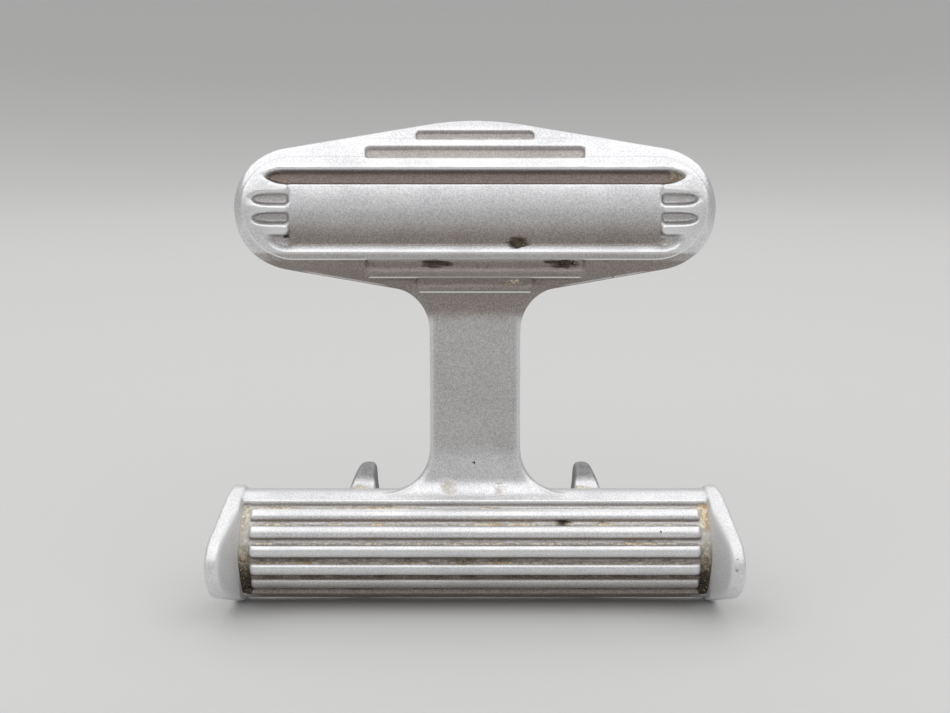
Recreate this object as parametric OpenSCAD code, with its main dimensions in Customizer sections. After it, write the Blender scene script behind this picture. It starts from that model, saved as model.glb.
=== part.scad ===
// Rudder pedal with toe brake: one cast pedal that tilts on a cross shaft.
// The origin is the middle of the pivot shaft, +X runs along the shaft, +Z is up
// and the foot presses from the -Y side. Lengths are millimetres, angles degrees.
// The pedal frame used below has its origin on the heel bar's axis and its Z up the stem.

/* [Stance] */
// Backward lean of the pedal at rest
lean = 8; // [0:1:15]

/* [Heel bar] */
// Width over the front edges of the two cheeks
overall_w = 152.4; // [146:0.2:165]
// Radius over the rib tops
bar_r = 16; // [15:0.25:17]
// Depth of the grooves between the ribs
bar_groove_depth = 2; // [1:0.1:2.4]
// Width of a groove at its floor
bar_groove_floor_w = 1.2; // [0.8:0.1:1.8]
// Width of a groove at the rib tops
bar_groove_mouth_w = 2.6; // [2:0.1:3.2]
// Angle from one groove to the next
bar_groove_pitch = 21.5; // [18:0.5:22]
// Number of grooves
bar_groove_count = 6; // [4:1:6]
// Wall of the half pipe under the groove floors
bar_wall = 3.4; // [2.6:0.1:4.5]
// Angle that the half pipe covers on each side of its front line
bar_half_angle = 100; // [95:1:110]
// Half length of the ribs
rib_half_l = 64.9; // [55:0.1:65]

/* [Cheeks] */
// Thickness of a cheek
cheek_t = 4.3; // [3.4:0.1:5]
// Outward flare of a cheek's inner face
cheek_flare = 15.5; // [12:0.5:18]
// Reach of a cheek in front of the bar axis
cheek_reach = 28; // [25:0.5:32]
// Radius of the cheek's nose
cheek_nose_r = 10; // [8:0.5:11]
// Drop of the nose below the bar axis
cheek_nose_drop = 3; // [1:0.5:5]
// Height of the cheek above the rib tops
cheek_lip = 1.2; // [0.6:0.1:2]
// Where the inner face starts to flare, behind the bar axis when positive
cheek_knee_y = -13; // [-16:0.5:-10]
// Where the outer face starts to flare, behind the bar axis when positive
cheek_shoulder_y = -4; // [-8:0.5:0]
// Rear edge of the cheek behind the bar axis
cheek_rear_y = 6; // [4:0.5:10]

/* [Toe pad] */
// Height of the pad's middle above the bar axis
pad_z = 98; // [94:0.5:105]
// Width over the pad's round ends
pad_w = 138.4; // [130:0.2:146]
// Radius of the pad's round ends
pad_end_r = 17.7; // [17:0.1:19]
// Slope of the gabled upper and lower edges
pad_gable = 10; // [8:0.5:12]
// Radius that rounds the top of the gable
pad_crown_r = 77; // [60:1:90]
// Radius of the convex front face
pad_face_r = 35; // [33:0.5:40]
// Reach of the front face in front of the bar axis
pad_reach = 13.5; // [12.5:0.1:14.5]
// Thickness of the pad's shell
pad_shell_t = 4.8; // [4.4:0.1:6]
// Step from the raised land down to the gabled borders
pad_land_step = 0.6; // [0.3:0.1:1]
// Half height of the raised land
pad_land_r = 14.8; // [14.2:0.1:15.4]
// Distance from the land's round end to the pad's end
pad_border = 2.3; // [1.8:0.1:3]
// Radius about the end's middle where the rounded rim starts
pad_rim_start_r = 15.4; // [15:0.1:16]
// Depth of the rounded rim at the pad's end
pad_rim_drop = 2.2; // [1.6:0.1:2.6]

/* [Toe pad relief] */
// Half length of the sunk panel, to the finger tips
panel_half_l = 52.7; // [48:0.1:53.5]
// Half height of the sunk panel
panel_half_h = 7.6; // [7.2:0.1:8]
// Depth of the sunk panel
panel_depth = 1; // [0.6:0.1:1.4]
// Distance from one finger slot to the next
slot_pitch = 6.2; // [5.9:0.1:6.4]
// Width of a finger slot
slot_w = 3.1; // [2.6:0.1:3.4]
// Depth of the finger slots and of the long grooves beside the panel
slot_depth = 2.4; // [1.6:0.1:2.8]
// Radius about the end's middle on which the slots stop
slot_stop_r = 12.3; // [11.8:0.1:12.6]
// Height of the inner tread grooves above and below the pad's middle
inner_tread_z = 16.1; // [15.7:0.1:16.4]
// Half length of the inner tread grooves
inner_tread_half_l = 31.5; // [25:0.5:36]
// Width of the inner tread grooves
inner_tread_w = 3; // [2:0.1:3.2]
// Height of the outer tread grooves above and below the pad's middle
outer_tread_z = 21.3; // [20.8:0.1:21.6]
// Half length of the outer tread grooves
outer_tread_half_l = 17; // [12:0.5:19]
// Width of the outer tread grooves
outer_tread_w = 2.6; // [1.6:0.1:2.8]
// Depth of all tread grooves
tread_depth = 1.4; // [1:0.1:2]
// Height of the ribs beside the tread grooves
tread_rib_rise = 0.35; // [0.2:0.05:0.5]
// Width of the outermost ribs
tread_rib_w = 1.7; // [1.2:0.1:2]

/* [Stem] */
// Width of the stem
stem_w = 26.6; // [25:0.2:29]
// Distance of the stem's front face in front of the bar axis
stem_front = 4; // [3.5:0.1:4.5]
// Thickness of the stem's front web
stem_web_t = 5.5; // [4.5:0.1:6.5]
// Thickness of the stem's side flanges
stem_flange_t = 4.4; // [3:0.1:4.8]
// Rear edge of the flanges behind the bar axis
stem_flange_rear = 7.5; // [6:0.1:8.2]
// Radius of the corners between stem and bar, seen from the front
stem_foot_r = 12.7; // [10:0.1:14]
// Radius of the corners between stem and pad, seen from the front
stem_neck_r = 12.6; // [10:0.1:14]
// Radius of the hollow between stem face and bar
stem_foot_hollow_r = 6.5; // [4:0.5:8]
// Radius of the hollow between stem face and pad
stem_neck_hollow_r = 8; // [5:0.5:10]

/* [Hinge] */
// Distance of the pivot behind the bar axis
pivot_y = 20; // [19:0.5:24]
// Height of the pivot above the bar axis
pivot_z = 4; // [2:0.5:5]
// Distance of each hinge lug from the pedal's middle
lug_x = 34.2; // [28:0.2:40]
// Thickness of a hinge lug
lug_t = 8.8; // [7:0.2:10]
// Thickness of a hinge lug at its top
lug_top_t = 4.6; // [3:0.2:6]
// Radius of a hinge lug about the pivot
lug_r = 11.5; // [10.5:0.1:13]
// Height of the lug's ear above the bar axis
lug_ear_top = 20.8; // [19:0.1:22]
// Distance of the ear's middle behind the bar axis
lug_ear_y = 16; // [14:0.5:18]
// Radius of the lug's ear
lug_ear_r = 6; // [5:0.1:7]
// Diameter of the pivot shaft
shaft_d = 7.94; // [7:0.01:8.5]
// Length of each free end of the shaft
shaft_free_l = 14; // [10:0.5:18]
// Wall of a pivot bush
bush_wall = 1.55; // [1:0.05:2]
// Thickness of a bush flange
bush_flange_t = 1.5; // [1:0.1:2]
// Radius of the bush flanges and of the thrust washers
bush_flange_r = 8; // [7.2:0.1:8.6]
// Thickness of a thrust washer
thrust_t = 1.5; // [1:0.1:2]
// Thickness of a retaining ring
ring_t = 1.1; // [0.8:0.1:1.4]
// Outer radius of a retaining ring
ring_r = 6.6; // [6:0.1:7.2]
// Depth of the shaft's ring grooves
ring_groove_depth = 0.5; // [0.3:0.05:0.7]

/* [Brake link] */
// Distance of the brake pin behind the bar axis
brake_pin_y = 22.4; // [21:0.1:25]
// Height of the brake pin above the bar axis
brake_pin_z = 46; // [42:0.5:52]
// Thickness of the brake lug
brake_lug_t = 6; // [5:0.1:7]
// Radius of the brake lug about the pin
brake_lug_r = 8; // [7.4:0.1:8.4]
// Diameter of the brake pin
brake_pin_d = 6.35; // [5:0.05:6.6]
// Wall of the brake lug bush
brake_bush_wall = 1.55; // [1:0.05:2]
// Thickness of each clevis ear
ear_t = 3.2; // [2.4:0.1:3.6]
// Radius of the clevis ears about the pin
ear_r = 6.5; // [6:0.1:7]
// Depth of the clevis slot below the pin
clevis_slot_l = 11; // [10.5:0.1:12.5]
// Length of the clevis below the pin
clevis_l = 30; // [28:0.5:31]
// Radius of the clevis barrel
barrel_r = 5.5; // [4.6:0.1:6]
// Radius of the clevis's threaded hole
rod_hole_r = 2.7; // [2:0.1:3.2]
// Depth of the clevis's threaded hole
rod_hole_l = 13; // [10:0.5:14]
// Radius of the pin's head
pin_head_r = 5; // [4.4:0.1:5.4]
// Thickness of the pin's head
pin_head_t = 2.4; // [1.6:0.1:2.6]
// Thickness of the clevis washer
clevis_washer_t = 1.6; // [1:0.1:2]
// Outer radius of the clevis washer
clevis_washer_r = 6.3; // [5.5:0.1:6.6]
// Radius of the cotter pin's shank
cotter_r = 0.95; // [0.7:0.05:1.1]

/* [Fits] */
// Radial clearance of a pin that turns in a bush
running_gap = 0.03; // [0.02:0.01:0.08]
// Radial clearance of a washer, ring or cotter on its pin
loose_gap = 0.05; // [0.03:0.01:0.15]
// Side clearance between a turning face and its washer or fork
side_gap = 0.1; // [0.05:0.05:0.3]

/* [Hidden] */
$fn = 96;
// Overrun of a cutter past the face that it opens
cut = 1;
// Depth by which a straight edge runs inside the rounds that it joins
tangent_sink = 0.03;
// Colours of the cast alloy, bronze, bright steel and plated steel
alloy = [0.78, 0.78, 0.79];
bronze = [0.66, 0.5, 0.26];
steel = [0.55, 0.56, 0.58];
plated = [0.72, 0.69, 0.58];

// Heel bar and cheeks
groove_floor_r = bar_r - bar_groove_depth;
bar_inner_r = groove_floor_r - bar_wall;
rib_half_angle = (bar_groove_count - 1) / 2 * bar_groove_pitch
    + atan(bar_groove_mouth_w / 2 / bar_r);
cheek_r = bar_r + cheek_lip;
cheek_tx = cheek_t / cos(cheek_flare);
cheek_nose = [cheek_nose_r - cheek_reach, -cheek_nose_drop];
cheek_front = -cheek_reach - cut;

// Toe pad, about the axis of its convex face
pad_axis = [pad_face_r - pad_reach, pad_z];
pad_border_r = pad_face_r - pad_land_step;
pad_back_r = pad_face_r - pad_shell_t;
pad_end_x = pad_w / 2 - pad_end_r;
pad_peak = (pad_end_x * sin(pad_gable) + pad_end_r) / cos(pad_gable);
pad_half_h = pad_peak - pad_crown_r * (1 / cos(pad_gable) - 1);
pad_crown_x = pad_crown_r * sin(pad_gable);
pad_crown_z = pad_half_h - pad_crown_r;
pad_land_x = pad_w / 2 - pad_border - pad_land_r;
rim_s = (pow(pad_end_r, 2) - pow(pad_rim_start_r, 2) - pow(pad_rim_drop, 2)) / (2 * pad_rim_drop);
rim_sphere_r = norm([rim_s, pad_end_r]);
rim_sphere_y = pad_axis[0] - pad_border_r + pad_rim_drop + rim_s;
slot_rows = [-1.5, -0.5, 0.5, 1.5];
finger_rows = [-1, 0, 1];
finger_w = slot_pitch - slot_w;
finger_x = panel_half_l + finger_w / 2;
// Reach of a tread rib into the grooves beside it, which trim it
rib_overlap = 0.2;
inner_rib_z = inner_tread_z + inner_tread_w / 2 - rib_overlap;
inner_rib_top = outer_tread_z - outer_tread_w / 2 + rib_overlap;
outer_rib_z = outer_tread_z + outer_tread_w / 2 - rib_overlap;
outer_rib_top = outer_rib_z + rib_overlap + tread_rib_w;

// Stem: hollows that touch the stem face and the round of the bar or of the pad
web_rear = stem_web_t - stem_front;
foot_hollow = [-stem_front - stem_foot_hollow_r,
    sqrt(pow(bar_r + stem_foot_hollow_r, 2) - pow(stem_front + stem_foot_hollow_r, 2))];
foot_touch = foot_hollow * bar_r / norm(foot_hollow);
neck_hollow_dy = pad_axis[0] + stem_front + stem_neck_hollow_r;
neck_hollow = [-stem_front - stem_neck_hollow_r,
    pad_z - sqrt(pow(pad_border_r + stem_neck_hollow_r, 2) - pow(neck_hollow_dy, 2))];
neck_touch = pad_axis + (neck_hollow - pad_axis) * pad_border_r / norm(neck_hollow - pad_axis);
// Reach of the web's hidden corners into the bar and the pad
web_root = 2;
foot_inside_z = (bar_inner_r + groove_floor_r) / 2;
neck_inside_z = pad_z - pad_half_h + 2 * web_root;
// Depth of the foot's round corners below the rib tops
foot_sink = 0.6;
// Gap between the stem's face and the front of its flanges
flange_inset = 1;
// Height above the pad's middle at which the flanges run out, and their depth there
flange_top_rise = 10;
flange_top_depth = 4;
pad_back_y = pad_axis[0] - pad_back_r;
pad_foot_z = pad_z - pad_half_h;
stem_foot_x = stem_w / 2 + stem_foot_r;
stem_foot_z = bar_r - foot_sink + stem_foot_r;
stem_neck_x = stem_w / 2 + stem_neck_r;
stem_neck_z = pad_z - pad_peak + stem_neck_x * tan(pad_gable) - stem_neck_r;

// Hinge, along X
shaft_r = shaft_d / 2;
bush_bore_r = shaft_r + running_gap;
bush_r = bush_bore_r + bush_wall;
lug_face_x = lug_x + lug_t / 2;
lug_inner_x = lug_x - lug_t / 2;
thrust_x = lug_face_x + bush_flange_t + side_gap;
ring_x = thrust_x + thrust_t + loose_gap;
shaft_half_l = ring_x + ring_t + loose_gap + shaft_free_l;
ring_seat_r = shaft_r - ring_groove_depth;
// Inner radius of a ring's band, clear of the shaft
band_r = (shaft_r + ring_r) / 2 - ring_groove_depth;
// Depth of the lugs' roots under the groove floors
lug_root_sink = 0.8;
lug_root_r = groove_floor_r - lug_root_sink;
// Flat margin of a lug above its bush flange, where its taper starts
lug_flat_margin = 0.4;
lug_taper_z = pivot_z + bush_flange_r + lug_flat_margin;
lug_ear = [lug_ear_y, lug_ear_top - lug_ear_r];
lug_pivot = [pivot_y, pivot_z];

// Brake link, about its pin
brake_bush_bore_r = brake_pin_d / 2 + running_gap;
brake_bush_r = brake_bush_bore_r + brake_bush_wall;
// Spread of the brake lug at its root, and the skin of the stem in front of it
brake_lug_spread = 1.5;
brake_lug_skin = 1;
brake_lug_root_r = brake_lug_r + brake_lug_spread;
brake_lug_root_y = brake_lug_root_r - stem_front + brake_lug_skin;
fork_slot_w = brake_lug_t + 2 * side_gap;
fork_w = fork_slot_w + 2 * ear_t;
pin_r = brake_pin_d / 2;
pin_seat_x = fork_w / 2 + loose_gap;
cotter_x = pin_seat_x + clevis_washer_t + 2 * loose_gap + cotter_r;
// End of the clevis pin past its cotter, and the cotter's length past the pin, in cotter radii
pin_end_x = cotter_x + 3 * cotter_r;
cotter_leg_z = pin_r + 2 * cotter_r;

// Direction v turned by an angle
function turned(v, angle) = [v[0] * cos(angle) - v[1] * sin(angle), v[0] * sin(angle) + v[1] * cos(angle)];

// Corners of the straight part between two circles that a belt would wrap
function belt_points(c0, r0, c1, r1) =
    let (d = c1 - c0)
    let (half = acos((r0 - r1) / norm(d)))
    let (up = turned(d / norm(d), half))
    let (down = turned(d / norm(d), -half))
    let (s0 = r0 - tangent_sink)
    let (s1 = r1 - tangent_sink)
    [c0 + s0 * up, c1 + s1 * up, c1 + s1 * down, c0 + s0 * down];

// Inner face of a cheek at a depth y
function cheek_inner_x(y) = overall_w / 2 - cheek_tx - (min(y, cheek_knee_y) + cheek_reach) * tan(cheek_flare);

// Height of a point of the pedal frame once the pedal leans, from the pivot
function leaned(p) = turned(p - [pivot_y, pivot_z], -lean);

// Places the pedal frame in the part's frame
module in_pedal() {
    rotate([-lean, 0, 0]) translate([0, -pivot_y, -pivot_z]) children();
}

// Extrudes a side outline, drawn as y and z, between two values of x
module side_plate(x0, x1) {
    translate([x0, 0, 0]) rotate([90, 0, 90]) linear_extrude(x1 - x0) children();
}

// Extrudes a front outline, drawn as x and z, between two values of y
module front_plate(y0, y1) {
    translate([0, y1, 0]) rotate([90, 0, 0]) linear_extrude(y1 - y0) children();
}

// Extrudes a plan outline between two values of z
module plan_plate(z0, z1) {
    translate([0, 0, z0]) linear_extrude(z1 - z0) children();
}

// Round rod along X
module rod_x(r, x0, x1) {
    translate([x0, 0, 0]) rotate([0, 90, 0]) cylinder(r = r, h = x1 - x0);
}

// Part of a tube about X, to both sides of its front line
module front_arc(r0, r1, half_l, half_angle) {
    rotate([0, 90, 0]) rotate([0, 0, -90 - half_angle]) rotate_extrude(angle = 2 * half_angle)
        translate([r0, -half_l]) square([r1 - r0, 2 * half_l]);
}

// Outline that a belt round two circles would have
module belt(c0, r0, c1, r1) {
    translate(c0) circle(r0);
    translate(c1) circle(r1);
    polygon(belt_points(c0, r0, c1, r1));
}

// Slot with round ends, from x0 to x1 between the middles of its ends
module round_slot(x0, x1, w) {
    translate([x0, 0]) circle(w / 2);
    translate([x1, 0]) circle(w / 2);
    translate([x0, -w / 2]) square([x1 - x0, w]);
}

// Both sides of a shape
module both_sides() {
    children();
    mirror([1, 0, 0]) children();
}

// Plan between the two cheeks, with their inner faces moved out by a distance
module cheek_plan(out) {
    mirrored_plan([
        [cheek_inner_x(cheek_rear_y) + out, cheek_rear_y],
        [cheek_inner_x(cheek_knee_y) + out, cheek_knee_y],
        [cheek_inner_x(cheek_front) + out, cheek_front]]);
}

// Plan over the two cheeks' outer faces
module cheek_cover() {
    back_x = cheek_inner_x(cheek_rear_y) + cheek_t;
    slope = (overall_w / 2 - back_x) / (cheek_shoulder_y + cheek_reach);
    mirrored_plan([
        [back_x, cheek_rear_y], [back_x, cheek_shoulder_y],
        [overall_w / 2 + slope * cut, cheek_front]]);
}

// Closed plan through three points and their mirror images
module mirrored_plan(points) {
    polygon([for (p = points) p, for (i = [2, 1, 0]) [-points[i][0], points[i][1]]]);
}

// Half pipe with grooved front, ending inside the cheeks
module heel_bar() {
    difference() {
        intersection() {
            front_arc(bar_inner_r, bar_r, overall_w / 2, bar_half_angle);
            plan_plate(-2 * bar_r, 2 * bar_r) cheek_plan(cheek_tx / 2);
        }
        bar_grooves();
        bar_reliefs();
    }
}

module bar_grooves() {
    spread = (bar_groove_mouth_w - bar_groove_floor_w) / bar_groove_depth;
    mouth_w = bar_groove_mouth_w + spread * cut;
    for (i = [0:bar_groove_count - 1])
        side_plate(-rib_half_l, rib_half_l)
            rotate(180 - (i - (bar_groove_count - 1) / 2) * bar_groove_pitch)
                polygon([
                    [groove_floor_r, -bar_groove_floor_w / 2], [bar_r + cut, -mouth_w / 2],
                    [bar_r + cut, mouth_w / 2], [groove_floor_r, bar_groove_floor_w / 2]]);
}

// Plain turned-down band between the rib ends and the cheeks
module bar_reliefs() {
    difference() {
        intersection() {
            front_arc(groove_floor_r, bar_r + cut, overall_w / 2, rib_half_angle);
            plan_plate(-2 * bar_r, 2 * bar_r) cheek_plan(0);
        }
        rod_x(2 * bar_r, -rib_half_l, rib_half_l);
    }
}

// Flared cheeks that close the bar's ends
module cheeks() {
    intersection() {
        side_plate(-overall_w / 2, overall_w / 2) belt([0, 0], cheek_r, cheek_nose, cheek_nose_r);
        plan_plate(-2 * bar_r, 2 * bar_r) difference() {
            cheek_cover();
            cheek_plan(0);
        }
    }
}

// Front outline of the pad between its round ends, about its middle
module pad_gables() {
    end_r = pad_end_r - tangent_sink;
    end = [pad_end_x + end_r * sin(pad_gable), end_r * cos(pad_gable)];
    crown = [pad_crown_x, pad_crown_z + pad_crown_r * cos(pad_gable)];
    quarter = [end, crown];
    polygon([
        for (p = quarter) p, for (i = [1, 0]) [-quarter[i][0], quarter[i][1]],
        for (p = quarter) -p, for (i = [1, 0]) [quarter[i][0], -quarter[i][1]]]);
    for (s = [0, 1]) mirror([0, s]) intersection() {
        translate([0, pad_crown_z]) circle(pad_crown_r);
        translate([-pad_crown_x, 0]) square([2 * pad_crown_x, pad_half_h + cut]);
    }
}

// Whole pad outline as a thick block, with the front rims of its ends rounded
module pad_block() {
    back = pad_axis[0];
    translate([0, 0, pad_z]) front_plate(-2 * pad_face_r, back) pad_gables();
    both_sides() intersection() {
        translate([pad_end_x, 0, pad_z]) front_plate(-2 * pad_face_r, back) circle(pad_end_r);
        translate([pad_end_x, rim_sphere_y, pad_z]) sphere(rim_sphere_r);
    }
}

// Round about the axis of the pad's convex face
module pad_round(r) {
    translate([0, pad_axis[0], pad_axis[1]]) rod_x(r, -pad_w, pad_w);
}

// Front outline, about the pad's middle, sunk into the convex face down to radius r
module pad_sunk(r) {
    difference() {
        translate([0, 0, pad_z]) front_plate(-2 * pad_face_r, 0) children();
        pad_round(r);
    }
}

module toe_pad() {
    difference() {
        intersection() {
            union() {
                pad_round(pad_border_r);
                intersection() {
                    pad_round(pad_border_r + tread_rib_rise);
                    translate([0, 0, pad_z]) front_plate(-2 * pad_face_r, 0) tread_ribs();
                }
                intersection() {
                    pad_round(pad_face_r);
                    translate([0, 0, pad_z]) front_plate(-2 * pad_face_r, 0)
                        round_slot(-pad_land_x, pad_land_x, 2 * pad_land_r);
                }
            }
            pad_block();
        }
        pad_round(pad_back_r);
        pad_sunk(pad_face_r - panel_depth) sunk_panel();
        pad_sunk(pad_face_r - slot_depth) finger_slots();
        pad_sunk(pad_border_r - tread_depth) tread_grooves();
    }
}

// Sunk panel with the round tips of the fingers left standing at its ends
module sunk_panel() {
    difference() {
        square([2 * finger_x, 2 * panel_half_h], center = true);
        for (side = [-1, 1], row = finger_rows)
            translate([side * finger_x, row * slot_pitch]) circle(finger_w / 2);
    }
}

// Slots between the fingers; the outer two run on along the panel as grooves
module finger_slots() {
    for (row = slot_rows) {
        z = row * slot_pitch;
        stop_x = pad_end_x + sqrt(pow(slot_stop_r, 2) - z * z) - slot_w / 2;
        translate([0, z]) {
            if (abs(row) > 1) round_slot(-stop_x, stop_x, slot_w);
            else for (s = [0, 1]) mirror([s, 0]) round_slot(finger_x, stop_x, slot_w);
        }
    }
}

module tread_grooves() {
    for (s = [-1, 1]) {
        translate([0, s * inner_tread_z]) square([2 * inner_tread_half_l, inner_tread_w], center = true);
        translate([0, s * outer_tread_z]) square([2 * outer_tread_half_l, outer_tread_w], center = true);
    }
}

// Raised ribs outside the tread grooves
module tread_ribs() {
    for (s = [0, 1]) mirror([0, s]) {
        translate([-inner_tread_half_l, inner_rib_z])
            square([2 * inner_tread_half_l, inner_rib_top - inner_rib_z]);
        translate([-outer_tread_half_l, outer_rib_z])
            square([2 * outer_tread_half_l, outer_rib_top - outer_rib_z]);
    }
}

// Front outline of the stem, with round corners to bar and pad
module stem_outline() {
    difference() {
        translate([-stem_foot_x, foot_inside_z]) square([2 * stem_foot_x, neck_inside_z - foot_inside_z]);
        for (s = [0, 1]) mirror([s, 0]) {
            translate([stem_foot_x, stem_foot_z]) circle(stem_foot_r);
            translate([stem_neck_x, stem_neck_z]) circle(stem_neck_r);
            translate([stem_w / 2, stem_foot_z]) square([2 * stem_foot_r, stem_neck_z - stem_foot_z]);
        }
    }
}

// Side outline of the stem's web, with the hollows above the bar and below the pad
module web_profile() {
    difference() {
        polygon([
            [web_rear, foot_inside_z], [-stem_front - web_root, foot_inside_z], foot_touch,
            [-stem_front, foot_hollow[1]], [-stem_front, neck_hollow[1]], neck_touch,
            [-stem_front + web_root, neck_inside_z], [web_rear, neck_inside_z]]);
        translate(foot_hollow) circle(stem_foot_hollow_r);
        translate(neck_hollow) circle(stem_neck_hollow_r);
    }
}

// Side outline of the flanges, which run up behind the pad as stiffeners
module flange_profile() {
    front = flange_inset - stem_front;
    top_z = pad_z + flange_top_rise;
    intersection() {
        polygon([
            [front, foot_inside_z], [stem_flange_rear, foot_inside_z - bar_wall],
            [stem_flange_rear, pad_foot_z - flange_top_depth], [pad_back_y + flange_top_depth, top_z],
            [pad_back_y - web_root, top_z], [front, neck_hollow[1]]]);
        union() {
            translate([-pad_face_r, 0]) square([2 * pad_face_r, pad_foot_z + web_root]);
            translate(pad_axis) circle((pad_back_r + pad_border_r) / 2);
        }
    }
}

module stem() {
    intersection() {
        front_plate(-2 * bar_r, 2 * bar_r) stem_outline();
        side_plate(-pad_w, pad_w) web_profile();
    }
    both_sides() side_plate(stem_w / 2 - stem_flange_t, stem_w / 2) flange_profile();
}

// Side outline of a hinge lug: from the bar to the pivot and up to its ear
module lug_profile() {
    belt([0, 0], lug_root_r, lug_pivot, lug_r);
    belt([0, 0], lug_root_r, lug_ear, lug_ear_r);
    belt(lug_pivot, lug_r, lug_ear, lug_ear_r);
}

// Hinge lugs, upright inside and thinner towards the tops of their ears
module hinge_lugs() {
    both_sides() difference() {
        intersection() {
            side_plate(lug_inner_x, lug_face_x) lug_profile();
            front_plate(-2 * bar_r, pivot_y + 2 * lug_r) polygon([
                [lug_inner_x, -2 * bar_r], [lug_face_x, -2 * bar_r], [lug_face_x, lug_taper_z],
                [lug_inner_x + lug_top_t, lug_ear_top], [lug_inner_x + lug_top_t, lug_ear_top + cut],
                [lug_inner_x, lug_ear_top + cut]]);
        }
        translate([0, pivot_y, pivot_z]) rod_x(bush_r, lug_x - lug_t, lug_x + lug_t);
    }
}

// Lug on the back of the stem that pushes the brake link
module brake_lug() {
    difference() {
        side_plate(-brake_lug_t / 2, brake_lug_t / 2)
            belt([brake_lug_root_y, brake_pin_z], brake_lug_root_r, [brake_pin_y, brake_pin_z], brake_lug_r);
        translate([0, brake_pin_y, brake_pin_z]) rod_x(brake_bush_r, -brake_lug_t, brake_lug_t);
    }
}

// One casting: heel bar, cheeks, stem, toe pad and lugs
module pedal_casting() {
    color(alloy) in_pedal() {
        heel_bar();
        cheeks();
        stem();
        toe_pad();
        hinge_lugs();
        brake_lug();
    }
}

// Flanged bush pressed into a hinge lug from outside
module pivot_bush() {
    color(bronze) difference() {
        union() {
            rod_x(bush_r, lug_inner_x, lug_face_x);
            rod_x(bush_flange_r, lug_face_x, lug_face_x + bush_flange_t);
        }
        rod_x(bush_bore_r, lug_x - lug_t, lug_x + lug_t);
    }
}

module pivot_bush_left() {
    mirror([1, 0, 0]) pivot_bush();
}

module pivot_bush_right() {
    pivot_bush();
}

// Plain bush pressed into the brake lug
module brake_lug_bush() {
    color(bronze) at_brake_pin() difference() {
        rod_x(brake_bush_r, -brake_lug_t / 2, brake_lug_t / 2);
        rod_x(brake_bush_bore_r, -brake_lug_t, brake_lug_t);
    }
}

// Shaft with a ring groove near each free end
module pivot_shaft() {
    groove_x0 = ring_x - loose_gap;
    groove_x1 = ring_x + ring_t + loose_gap;
    color(steel) difference() {
        rod_x(shaft_r, -shaft_half_l, shaft_half_l);
        both_sides() difference() {
            rod_x(2 * shaft_r, groove_x0, groove_x1);
            rod_x(ring_seat_r, groove_x0 - cut, groove_x1 + cut);
        }
    }
}

module thrust_washer() {
    color(bronze) difference() {
        rod_x(bush_flange_r, thrust_x, thrust_x + thrust_t);
        rod_x(shaft_r + loose_gap, thrust_x - cut, thrust_x + thrust_t + cut);
    }
}

module thrust_washer_left() {
    mirror([1, 0, 0]) thrust_washer();
}

module thrust_washer_right() {
    thrust_washer();
}

// Open retaining ring that grips the shaft's groove with three prongs
module retaining_ring() {
    prong_w = 2 * ring_t;
    prong_r = (ring_r + band_r) / 2;
    seat = ring_seat_r + loose_gap / 2;
    color(steel) side_plate(ring_x, ring_x + ring_t) difference() {
        union() {
            difference() {
                circle(ring_r);
                circle(band_r);
            }
            for (a = [0, 90, 180]) rotate(a) translate([0, -prong_w / 2]) square([prong_r, prong_w]);
        }
        circle(seat);
        translate([-seat, -ring_r - cut]) square([2 * seat, ring_r + cut]);
    }
}

module retaining_ring_left() {
    mirror([1, 0, 0]) retaining_ring();
}

module retaining_ring_right() {
    retaining_ring();
}

// Places the brake link's own frame, with its origin on the pin and its barrel hanging down
module at_brake_pin() {
    p = leaned([brake_pin_y, brake_pin_z]);
    translate([0, p[0], p[1]]) children();
}

// Fork with a threaded barrel for the brake rod
module brake_clevis() {
    neck_z = -clevis_slot_l - ear_t;
    color(plated) at_brake_pin() difference() {
        union() {
            side_plate(-fork_w / 2, fork_w / 2) belt([0, 0], ear_r, [0, neck_z], barrel_r);
            translate([0, 0, -clevis_l]) cylinder(r = barrel_r, h = clevis_l + neck_z);
        }
        translate([-fork_slot_w / 2, -2 * ear_r, -clevis_slot_l])
            cube([fork_slot_w, 4 * ear_r, clevis_slot_l + 2 * ear_r]);
        rod_x(pin_r + loose_gap, -fork_w, fork_w);
        translate([0, 0, -clevis_l - cut]) cylinder(r = rod_hole_r, h = rod_hole_l + cut);
    }
}

// Headed pin with a cross hole for the cotter
module clevis_pin() {
    color(steel) at_brake_pin() difference() {
        union() {
            rod_x(pin_r, -pin_seat_x, pin_end_x);
            rod_x(pin_head_r, -pin_seat_x - pin_head_t, -pin_seat_x);
        }
        translate([cotter_x, 0, -2 * pin_r]) cylinder(r = cotter_r + loose_gap, h = 4 * pin_r);
    }
}

module clevis_washer() {
    color(plated) at_brake_pin() difference() {
        rod_x(clevis_washer_r, pin_seat_x, pin_seat_x + clevis_washer_t);
        rod_x(pin_r + loose_gap, pin_seat_x - cut, pin_seat_x + clevis_washer_t + cut);
    }
}

// Cotter with its eye above the pin and its legs bent apart below
module cotter_pin() {
    eye_r = 2 * cotter_r;
    eye_wire_r = 0.8 * cotter_r;
    leg_r = 0.7 * cotter_r;
    leg_l = pin_r;
    leg_bend = 65;
    color(plated) at_brake_pin() translate([cotter_x, 0, 0]) {
        translate([0, 0, -cotter_leg_z]) cylinder(r = cotter_r, h = 2 * cotter_leg_z);
        translate([0, 0, cotter_leg_z + eye_r]) rotate([0, 90, 0]) rotate_extrude()
            translate([eye_r, 0]) circle(eye_wire_r);
        for (s = [-1, 1]) translate([0, 0, -cotter_leg_z]) rotate([s * leg_bend, 0, 0])
            cylinder(r = leg_r, h = leg_l);
    }
}

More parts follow.
